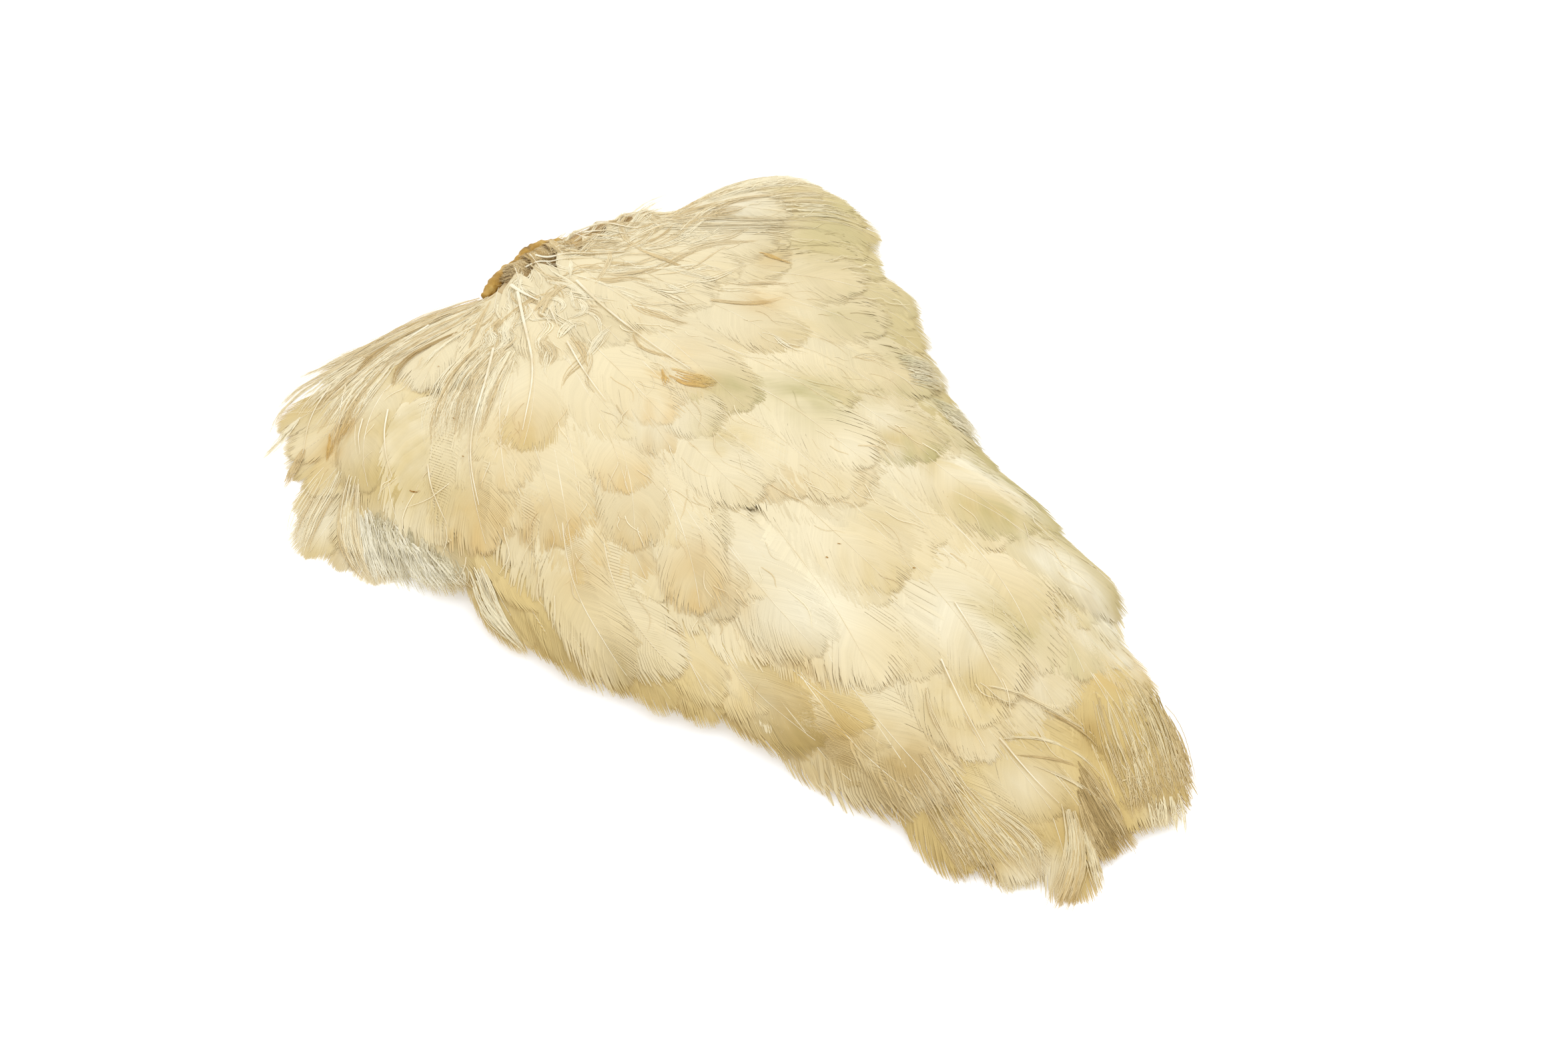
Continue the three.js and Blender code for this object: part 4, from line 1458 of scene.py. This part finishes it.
# %% Locks of the left wing
LEFT_WING = [
    (0.35, [(-78, -24), (-76.9, -32.5), (-77.6, -36.4), (-77.5, -40.5)]),
    (0.35, [(-76.8, -29), (-74.9, -34.8), (-76.1, -39.7), (-74.6, -43.5), (-72.4, -47)]),
    (0.3, [(-75, -35), (-74.6, -40.5), (-72.2, -45.6), (-69.8, -48.7), (-67.2, -51.5)]),
    (0.15, [(-67.5, -45), (-66.2, -47.9), (-65.2, -50.7), (-62.8, -55.5)]),
    (0.6, [(-60, -48.5), (-59, -50), (-56.9, -52.9), (-54.2, -56.3)]),
    (0.8, [(-76.4, -18), (-74.8, -26.8), (-72.3, -31.2), (-69.2, -33.8)]),
    (0.85, [(-69, -12), (-68.5, -22.4), (-66.1, -26.4), (-61.6, -29.8)]),
    (0, [(-75, -12), (-73, -24.3), (-71.4, -29.5), (-67.5, -34.3)]),
    (0, [(-69, -7.4), (-67.5, -13.8), (-66, -18.4), (-61, -25)]),
]
MARGIN_BAND = ([(-77.4, -1.5), (-78.6, -8), (-78.8, -15), (-78.6, -22), (-77.6, -31)],
               [(-72, -4), (-71.5, -12), (-70.5, -20), (-68, -29)])
WING_FIELD = ([(-76, -27), (-75, -34), (-73.5, -40), (-70, -46)],
              [(-68, -25), (-63, -32), (-58, -38), (-54, -44)])
ORANGE_TUFT = ([(-66, -36), (-61.5, -41), (-57, -45), (-52.8, -48.2)],
               [(-64, -33), (-60, -37), (-57, -40.5)])
ROUND_TUFT = ([(-52.4, -48), (-49.5, -54), (-45.6, -59.1), (-41.4, -61.6)],
              [(-48.6, -47), (-45, -52.5), (-41, -58), (-37.6, -61.2)])
TAN_TUFT = ([(-48.4, -46), (-44, -51.7), (-37.5, -55.5), (-31.6, -57), (-26.5, -56.5)],
            [(-44, -46), (-37, -51), (-31, -53.5), (-25, -55)])
GREY_DOWN = ([(-41, -49), (-36, -51.5), (-30, -53.8), (-25, -55.2)],
             [(-22, -45.8), (-18, -45.6), (-14.5, -45.4), (-11.5, -44.8)])
# Darker strands laid along the line under the raised vane edge: painted shade where that edge shades
# the down
PAINTED_SHADE_DOWN = ([(-37.5, -47.5), (-35, -49.6), (-31.5, -51)],
              [(-17.5, -43.6), (-15.5, -44.3), (-13.5, -44.8)])
FOLDED_TUFT = ([(-15.5, -43.5), (-9.4, -45.2), (-3.7, -45.8), (0.9, -45), (4.1, -44.4)],
               [(-15, -40), (-7.6, -42.4), (-1.4, -43.8), (1.8, -43.8)])
DOWN_FIELD = ([(-64.5, -8), (-61.5, -16.6), (-57, -23.6), (-49.3, -30.8), (-43, -34)],
              [(-54, -9), (-47, -16.5), (-41, -22), (-36.5, -26)])
lay_strands("left_wing_locks", [
    tuft(MARGIN_BAND, 26, (0.1, 0.75), 10, 0.5, 0.4, 0.15),
    tuft(WING_FIELD, 20, (0.05, 0.55), 8, 0.5, 0.3, 0.1),
    drawn_locks(LEFT_WING, 20, 0.4, 0.25, 0.15),
    tuft(ORANGE_TUFT, 12, (0.3, 0.7), 8, 0.4, 0.2, 0.1),
    tuft(TAN_TUFT, 12, (0.2, 0.6), 7, 0.4, 0.2, 0.08),
    tuft(ROUND_TUFT, 8, (0, 0.5), 5, 0.5, 0.2, 0.03),
    tuft(FOLDED_TUFT, 10, (0, 0.5), 12, 0.25, 0.1, 0.3),
    tuft(DOWN_FIELD, 36, (0, 0.5), 7, 0.5, 0.5, 0.12),
], wing_lock)

# %% White down and locks of the right wing
RIGHT_DOWN_1 = ([(-15, 44), (-12.6, 47.5), (-10.5, 50.5)], [(-7, 42), (-5, 45), (-3.5, 48.6)])
RIGHT_DOWN_2 = ([(-3, 42), (-0.5, 44.5), (2.5, 46.8)], [(4.5, 42), (7.5, 43.6), (10.8, 45)])
RIGHT_WING = [
    (0.5, [(-74.3, 31.6), (-70.8, 35.6), (-70.1, 41.4), (-67.5, 46), (-64.6, 51.9)]),
    (0.45, [(-75.5, 33.2), (-71.2, 38.2), (-70.1, 43), (-67.4, 46.7), (-62.9, 57.2)]),
    (0.3, [(-73, 32), (-70, 37), (-67, 42), (-60, 48), (-54, 57)]),
    (0.25, [(-73, 30), (-69, 34), (-64, 42), (-57, 50), (-49, 58)]),
    (0.5, [(-74.1, 40.3), (-73.6, 45.5), (-69.9, 49.3), (-68.7, 54.9)]),
    (0.4, [(-75.8, 40.6), (-76.5, 43.8), (-72.7, 47.5), (-70.5, 51)]),
]
TOP_WISPS = ([(-74.8, 41.5), (-73.4, 47.4), (-73, 54.5), (-74.2, 60.5), (-74.5, 65)],
             [(-71, 43), (-68, 52), (-65.5, 60), (-63, 67.8)])
TOP_OUTLINE = ([(-77.5, 41), (-79.2, 48), (-78.8, 53), (-77.4, 60), (-74.6, 65.8), (-70, 67.8)],
               [(-75.5, 43), (-76, 50), (-75, 58), (-72.5, 64), (-69, 67)])
TOP_TIPS = ([(-65, 53), (-62.5, 60), (-60.5, 66.6)], [(-57, 52), (-52, 60), (-46.8, 65)])
lay_strands("white_wing_down", [
    tuft(GREY_DOWN, 36, (0.15, 0.5), 9, 0.5, 0.4, 0.04, 0.3),
    # Painted shade: darker down along the raised vane edge
    tuft(PAINTED_SHADE_DOWN, 26, (0.5, 0.95), 7, 0.4, 0.2, 0.03, 0.3),
    tuft(RIGHT_DOWN_1, 10, (0.4, 0.75), 10, 0.6, 0.5, 0.06, 0.3),
    tuft(RIGHT_DOWN_2, 10, (0.4, 0.75), 10, 0.6, 0.5, 0.06, 0.3),
], white_down)
lay_strands("right_wing_locks", [
    drawn_locks(RIGHT_WING, 16, 0.45, 0.2, 0.06),
    tuft(TOP_WISPS, 14, (0, 0.3), 8, 0.7, 0.4, 0.06),
    tuft(TOP_TIPS, 10, (0, 0.35), 7, 0.5, 0.2, 0.04),
    tuft(TOP_OUTLINE, 7, (0, 0.4), 12, 0.5, 0.3, 0.1),
], wing_lock)

# %% [markdown]
# Orange tips and specks
#
# A few tips are so rich in pigment that they look orange, and their barbs stand out singly. A
# stain on the vanes was too soft for that, so those barbs are laid once more as strands of
# their own. Some specks and one dark hair lie on the feathers.

# %% Orange tips and specks
ORANGE_TIPS = ([(-33.5, 9.5), (-30.5, 11), (-27.6, 12.7), (-25, 13.9)],
               [(-30.5, 7.5), (-27.5, 8), (-25, 9.6), (-24, 12.4)])
ORANGE_STREAKS = [
    (0.5, [(-34, 8.1), (-32.4, 6.9), (-31.1, 6.8), (-29.4, 5.7)]),
    (0.4, [(-54.3, 42.6), (-50.6, 44.3), (-46.6, 45.4)]),
    (0.6, [(-59.5, -43.8), (-57.5, -45), (-55.8, -46.2), (-53.6, -47.8)]),
]
SPECKS = [
    [(-36.6, -41.4), (-35.4, -41.1), (-34.6, -40.2)], [(-56.2, -20.8), (-55.6, -20.4)],
    [(-45.8, -27), (-45, -27)], [(-35.2, -31.6), (-34.6, -31.4)], [(-61.2, -20.8), (-60.8, -20.6)],
    [(18.8, 6.7), (19.4, 7.1)], [(19.9, 3.5), (20.5, 3.7)], [(30.1, 13.5), (30.5, 13.9)],
]
lay_strands("orange_tips", [
    tuft(ORANGE_TIPS, 9, (0.1, 0.75), 10, 0.3, 0.1, 0.03, 0.8),
    drawn_locks(ORANGE_STREAKS, 10, 0.35, 0.1, 0.03, 0.6),
    drawn_locks([(1, points) for points in SPECKS], 4, 0.06, 0.02, 0.02, 0.2),
], orange_lock)

# %% [markdown]
# The tail
#
# The rearmost feathers are worn to square brown tips and frayed bundles that cross each other.
# Vanes with a clean outline can't show that, so bundles of strands are laid over them.

# %% Frayed locks of the tail
STREAK_TONE = 0.55
BUNDLE = ([(65.8, 21.1), (72.4, 17), (77.6, 14.6), (83.7, 12.2), (88, 10.8)],
          [(65.5, 32.8), (71.9, 31.2), (77, 29), (81.9, 26.4), (88.8, 22.2)])
BUNDLE_EDGE = ([(66, 31.5), (73, 29.4), (80, 26.6), (87, 23)],
               [(68, 33.2), (75, 31), (82, 27.6), (89.2, 23.4)])
BUNDLE_ENDS = ([(79, 16.5), (83, 14), (87.5, 11)], [(81, 26), (85, 24.5), (89, 22.3)])
SQUARE_TIPS = ([(86.5, 15.5), (89, 14), (91.5, 12.8)], [(88.5, 20.5), (91, 19), (93.5, 17.2)])
BROWN_BLOCK = ([(74, 12), (80, 10.8), (86, 10), (92, 8.5)],
               [(81.5, 6), (84.5, 4.5), (88, 3), (91.6, 3)])
GOLDEN_LOBE = ([(80, 4.2), (84.7, 2), (88.1, -1.4), (90.3, -5.3), (92.3, -9)],
               [(82, 4.5), (87, 2), (91, -1), (93.6, -4.5), (95, -6.8)])
LOBE_SIDE = ([(85, 3.5), (89, 1.5), (92.5, -0.5), (94.8, -1.6)],
             [(85, 5), (89, 3), (92, 2), (94, 0.8)])
LOW_LOCK = ([(60, -7), (67.4, -9), (76.3, -9.6), (84.3, -10.2), (87.5, -10.8)],
            [(63, -13), (71.9, -14), (77.9, -15.4), (81.4, -16.4)])
LOW_FLOW = ([(70, -5), (77.7, -3.5), (84, -2), (88, -6)],
            [(66, -8), (74, -8.4), (82, -8.6), (88, -9.2)])
SINGLE_STREAKS = [
    (1, [(64, 12.4), (69.4, 14.9), (72.8, 15.4), (75, 15.1)]),
    (0.95, [(68.8, 4), (70.9, 6.8), (73.6, 9.7), (77, 11)]),
    (0, [(56, 7.8), (60.7, 11.6), (65.3, 13.9), (71.2, 15.9)]),
    (0.1, [(65.2, 3.8), (67.5, 9.2), (72, 11.9), (76.5, 12.6), (81, 12.1)]),
    (0.45, [(71.5, 4.6), (74.9, 6.9), (78.9, 8.7), (83.2, 9.3), (88, 9.1)]),
    (0.85, [(60, -8.2), (65.1, -9.4), (70.5, -10.1)]),
    (0.6, [(50.5, 0.3), (55.3, -2.7), (61.3, -3.9), (67.7, -4.8)]),
    (0.9, [(79.9, 17.2), (82, 15.6), (84.5, 14)]),
    (0, [(79.3, 18.5), (81.9, 16.8), (85.4, 15.1)]),
    (0.9, [(79, 12), (83, 10.9), (87, 10.3)]),
]
lay_strands("tail_locks", [
    tuft(BUNDLE, 22, (0.25, 0.5), 6, 0.8, 0.3, 0.02, 0.85),
    tuft(BUNDLE_EDGE, 6, (0.45, 0.8), 7, 0.5, 0.3, 0.03, 0.8),
    tuft(BUNDLE_ENDS, 14, (0.35, 0.75), 6, 0.6, 0.2, 0.03, 0.7),
    tuft(SQUARE_TIPS, 8, (0, 0.2), 6, 0.3, 0.1, 0.03, 0.5),
    tuft(BROWN_BLOCK, 20, (0.4, 1), 11, 0.4, 0.1, 0.08),
    tuft(GOLDEN_LOBE, 12, (0.2, 0.5), 11, 0.4, 0.1, 0.08),
    tuft(LOBE_SIDE, 6, (0.2, 0.45), 9, 0.35, 0.1, 0.06),
    tuft(LOW_LOCK, 14, (0.2, 0.55), 7, 0.6, 0.2, 0.03, 0.7),
    tuft(LOW_FLOW, 12, (0.1, 0.4), 6, 0.6, 0.2, 0.03, 0.7),
    drawn_locks(SINGLE_STREAKS, 7, 0.2, 0.1, 0.06, tone_share=STREAK_TONE),
], tail_lock)

# %% [markdown]
# Bare quills
#
# Here and there a shaft shows without its barbs, pale and shiny, most of all where the
# feathers leave the skin. Each is the shaft's rod again, laid along a smooth line over
# everything else and tapered to a hair.

# %% Bare quills
QUILL_TAPER = 0.75
QUILL_FLAT = 0.6
QUILL_LIFT = 0.1
LINE_ROUNDS = 12
HEIGHT_ROUNDS = 6
# Each line of places runs from the skin outwards, with the radius at its thick end
QUILLS = [
    ([(-77, 9.6), (-75.4, 13.3), (-73.7, 16.6), (-70.8, 20.4), (-69, 23.8)], 0.26),
    ([(-76, 6.8), (-75.5, 9.8), (-74.1, 13), (-71.1, 18.2)], 0.2),
    ([(-81.2, 20.4), (-78.6, 22.9), (-76.4, 25.7), (-73, 29.5)], 0.3),
    ([(-78.3, 21.2), (-75, 24.8), (-72, 28)], 0.22),
    ([(-72.9, 1.7), (-71.5, 2), (-69.6, 2.4), (-67.5, 2.7), (-65.8, 3)], 0.42),
    ([(-70.8, 1.8), (-66.4, -0.3), (-57.8, -4.5), (-51, -7.4), (-45.5, -10.6), (-39.7, -15.3),
      (-33.3, -20.6)], 0.32),
    ([(-66.4, 11.6), (-59.7, 10.9), (-53.2, 10.5), (-47.3, 10.7), (-39.3, 10.9),
      (-30.5, 11.8)], 0.28),
    ([(-58.9, -10.7), (-49.3, -18.2), (-41.4, -25.5), (-33.9, -31), (-27.8, -33.9),
      (-23.6, -35.4)], 0.26),
    ([(-50.9, -0.4), (-44.3, -2.1), (-38.6, -3.3), (-32.6, -4.2)], 0.2),
    ([(-61.9, 3.1), (-55.9, 0.9)], 0.22), ([(-75.9, -14.1), (-74.9, -18.8), (-72, -25)], 0.22),
    ([(-71.4, -36.8), (-68.4, -41.1), (-63.9, -45.8), (-58.9, -49.5)], 0.16),
    ([(-69.2, -35), (-64.6, -38.5), (-59.8, -41.7)], 0.13),
    ([(-57.2, -38.3), (-53.8, -41.2), (-49.3, -43.4)], 0.13),
    ([(-56.2, -33.8), (-51.8, -37.2), (-46.2, -40.2), (-40.8, -42.1)], 0.17),
    ([(-38.8, -36.2), (-34.5, -38.4), (-29.1, -40), (-24.8, -41)], 0.15),
    ([(39.9, 14.4), (48.3, 12.5), (54.7, 10.5), (57.3, 10.1)], 0.14),
    ([(47.8, 5.5), (53.8, 3.5), (59.7, 1.8), (65, 0.6)], 0.14),
    ([(65, 3.5), (69.3, 3.5), (75.1, 3.3), (79.5, 3.5)], 0.16),
]
quills = []


def lay_quill(name, points, thick):
    place = drawn_guide(points, SHAFT_RINGS, LINE_ROUNDS)[None]
    height = over_laid(place) + thick * 0.5 + QUILL_LIFT
    for _ in range(HEIGHT_ROUNDS):
        height[:, 1:-1] = (height[:, :-2] + 2 * height[:, 1:-1] + height[:, 2:]) / 4
    middle = np.concatenate((place, height[..., None]), -1)
    radius = thick * (1 - QUILL_TAPER * np.linspace(0, 1, SHAFT_RINGS)[None])
    quill = lay_comb(shaft_rod, name, middle, radius, radius * QUILL_FLAT)
    quill.data.materials.append(shaft_horn)
    only(quill)
    bpy.ops.object.shade_smooth_by_angle(angle=SMOOTH_TO)
    settle(quill)
    quills.append(quill)


for i, (points, thick) in enumerate(QUILLS):
    lay_quill(f"bare_quill_{i + 1:02d}", points, thick)
print(len(quills), "bare quills")

# %% [markdown]
# Crust and skin
#
# The front edge of the skin has dried to a lumpy amber rim. Sculpting it by hand can't be
# repeated, so round lumps are set along the edge, joined, and fused into one closed surface by
# a Remesh modifier. Two cloud textures then push it in and out.

# %% Crust
# x, y, z and radius of each lump
CRUST_LUMPS = [
    (-75.9, -2.2, 1.6, 0.8), (-76.6, -0.6, 1.8, 1.2), (-77.3, 1, 1.9, 1.4), (-78.1, 2.6, 2, 1.5),
    (-78.6, 4.4, 2.1, 1.45), (-79, 6.3, 2.2, 1.3), (-79.6, 8, 2.3, 1.35), (-80.5, 9.7, 2.3, 1.5),
    (-80.9, 11.6, 2.3, 1.5), (-80.8, 13.4, 2.4, 1.35), (-80.3, 15, 2.5, 1.1), (-80, 16.5, 2.6, 0.85),
]
REMESH_CELL = 0.3
ROUND_OFF = 8
# Name, size and depth of each cloud, in millimetres
CLOUDS = (("lumps", 2.4, 0.7), ("grains", 0.8, 0.3))
lumps = []
for x, y, z, radius in CRUST_LUMPS:
    deselect()
    place = (x * MM, y * MM, z * MM)
    bpy.ops.mesh.primitive_ico_sphere_add(subdivisions=3, radius=radius * MM, location=place)
    lumps.append(bpy.context.object)
deselect()
for lump in lumps:
    lump.select_set(True)
bpy.context.view_layer.objects.active = lumps[0]
bpy.ops.object.join()
crust = bpy.context.object
crust.name = "dried_crust"
bpy.ops.object.transform_apply(location=True, rotation=True, scale=True)
fuse = crust.modifiers.new("fuse", "REMESH")
fuse.mode = "VOXEL"
fuse.voxel_size = REMESH_CELL * MM
round_off = crust.modifiers.new("round_off", "SMOOTH")
round_off.iterations = ROUND_OFF
for name, size, depth in CLOUDS:
    cloud = bpy.data.textures.new(name, "CLOUDS")
    cloud.noise_scale = size * MM
    displace = crust.modifiers.new(name, "DISPLACE")
    displace.texture = cloud
    displace.texture_coords = "GLOBAL"
    displace.strength = depth * MM
    displace.mid_level = 0.5
only(crust)
for name in ("fuse", "round_off", "lumps", "grains"):
    bpy.ops.object.modifier_apply(modifier=name)
bpy.ops.object.shade_smooth()
settle(crust)
print("crust of", len(crust.data.polygons), "faces")

# %% [markdown]
# Finish of the dried skin
#
# Dried hide is amber where fat has soaked it, darker in its hollows and pale where it has
# flaked. The crust and the skin differ in tones and in the size of their patches only, so they
# share a node group. Its grit feeds the Bump node in each material, because modelling so fine
# a grain would take far more faces than the patch itself.

# %% Skin and crust materials
DRIED_ROUGHNESS = 0.45
CLOUD_DETAIL = 5
GRIT_DETAIL = 4
# How much finer the grit is than the patches
FINER = 5
AMBER_EDGE = (0.3, 0.55)
PALE_EDGE = (0.5, 0.7)
GRIT_RANGE = (0.3, 0.7)
ROUGHNESS_RANGE = (0.35, 0.7)
BUMP_STRENGTH = 0.5
BUMP_DISTANCE = 0.0005


def dried_group():
    tree, given = group_tree("dried_tint", ("Pale", "Amber", "Dark"), ("Scale",))
    for name in ("Grit", "Roughness"):
        tree.interface.new_socket(name, in_out="OUTPUT", socket_type="NodeSocketFloat")
    result = tree.nodes.new("NodeGroupOutput")
    cloud = noise(tree, given["Scale"], CLOUD_DETAIL)
    amber = map_range(tree, cloud, *AMBER_EDGE, 0, 1)
    pale = map_range(tree, cloud, *PALE_EDGE, 0, 1)
    colour = mix_colour(tree, amber, given["Dark"], given["Amber"])
    colour = mix_colour(tree, pale, colour, given["Pale"])
    grit = noise(tree, multiply(tree, given["Scale"], FINER), GRIT_DETAIL)
    rough = map_range(tree, grit, *GRIT_RANGE, *ROUGHNESS_RANGE)
    tree.links.new(colour, result.inputs["Colour"])
    tree.links.new(grit, result.inputs["Grit"])
    tree.links.new(rough, result.inputs["Roughness"])
    return tree


dried_tint = dried_group()


def dried_material(name, pale, amber, dark, scale):
    material, tree, surface = new_material(name, DRIED_ROUGHNESS)
    tint = placed_group(tree, dried_tint, {"Pale": pale, "Amber": amber, "Dark": dark,
                                           "Scale": scale})
    bump = tree.nodes.new("ShaderNodeBump")
    bump.inputs["Strength"].default_value = BUMP_STRENGTH
    bump.inputs["Distance"].default_value = BUMP_DISTANCE
    tree.links.new(tint["Grit"], bump.inputs["Height"])
    tree.links.new(bump.outputs["Normal"], surface.inputs["Normal"])
    tree.links.new(tint["Colour"], surface.inputs["Base Color"])
    tree.links.new(tint["Roughness"], surface.inputs["Roughness"])
    return material


amber_crust = dried_material("amber_crust", (0.66, 0.45, 0.14), (0.52, 0.3, 0.06),
                             (0.26, 0.15, 0.04), 350)
skin_leather = dried_material("skin_leather", (0.72, 0.57, 0.33), (0.6, 0.42, 0.18),
                              (0.4, 0.25, 0.09), 120)
crust.data.materials.append(amber_crust)
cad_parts["skin"].data.materials.clear()
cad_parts["skin"].data.materials.append(skin_leather)
print("dried materials share", len(dried_tint.nodes), "nodes")

# %% [markdown]
# Measure and finish
#
# The rods that the combs were made from aren't part of the patch, so they are put away. The
# count of triangles shows how heavy the patch is. The two boxes show how far
# loose barbs stand out past the imported model.

# %% Put the modelling rods away, measure and finish
for comb in (barb_comb, sparse_comb, shaft_rod):
    bpy.data.objects.remove(comb["rod"])
fibres = feathers + locks + quills
triangles = sum(len(piece.data.loops) - 2 * len(piece.data.polygons) for piece in fibres)
print("triangles in barbs and strands:", triangles)
own_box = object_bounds()
for title, box in (("packed", cad_box), ("scene", own_box)):
    print(title, "box:", [[round(value, 4) for value in corner] for corner in box])
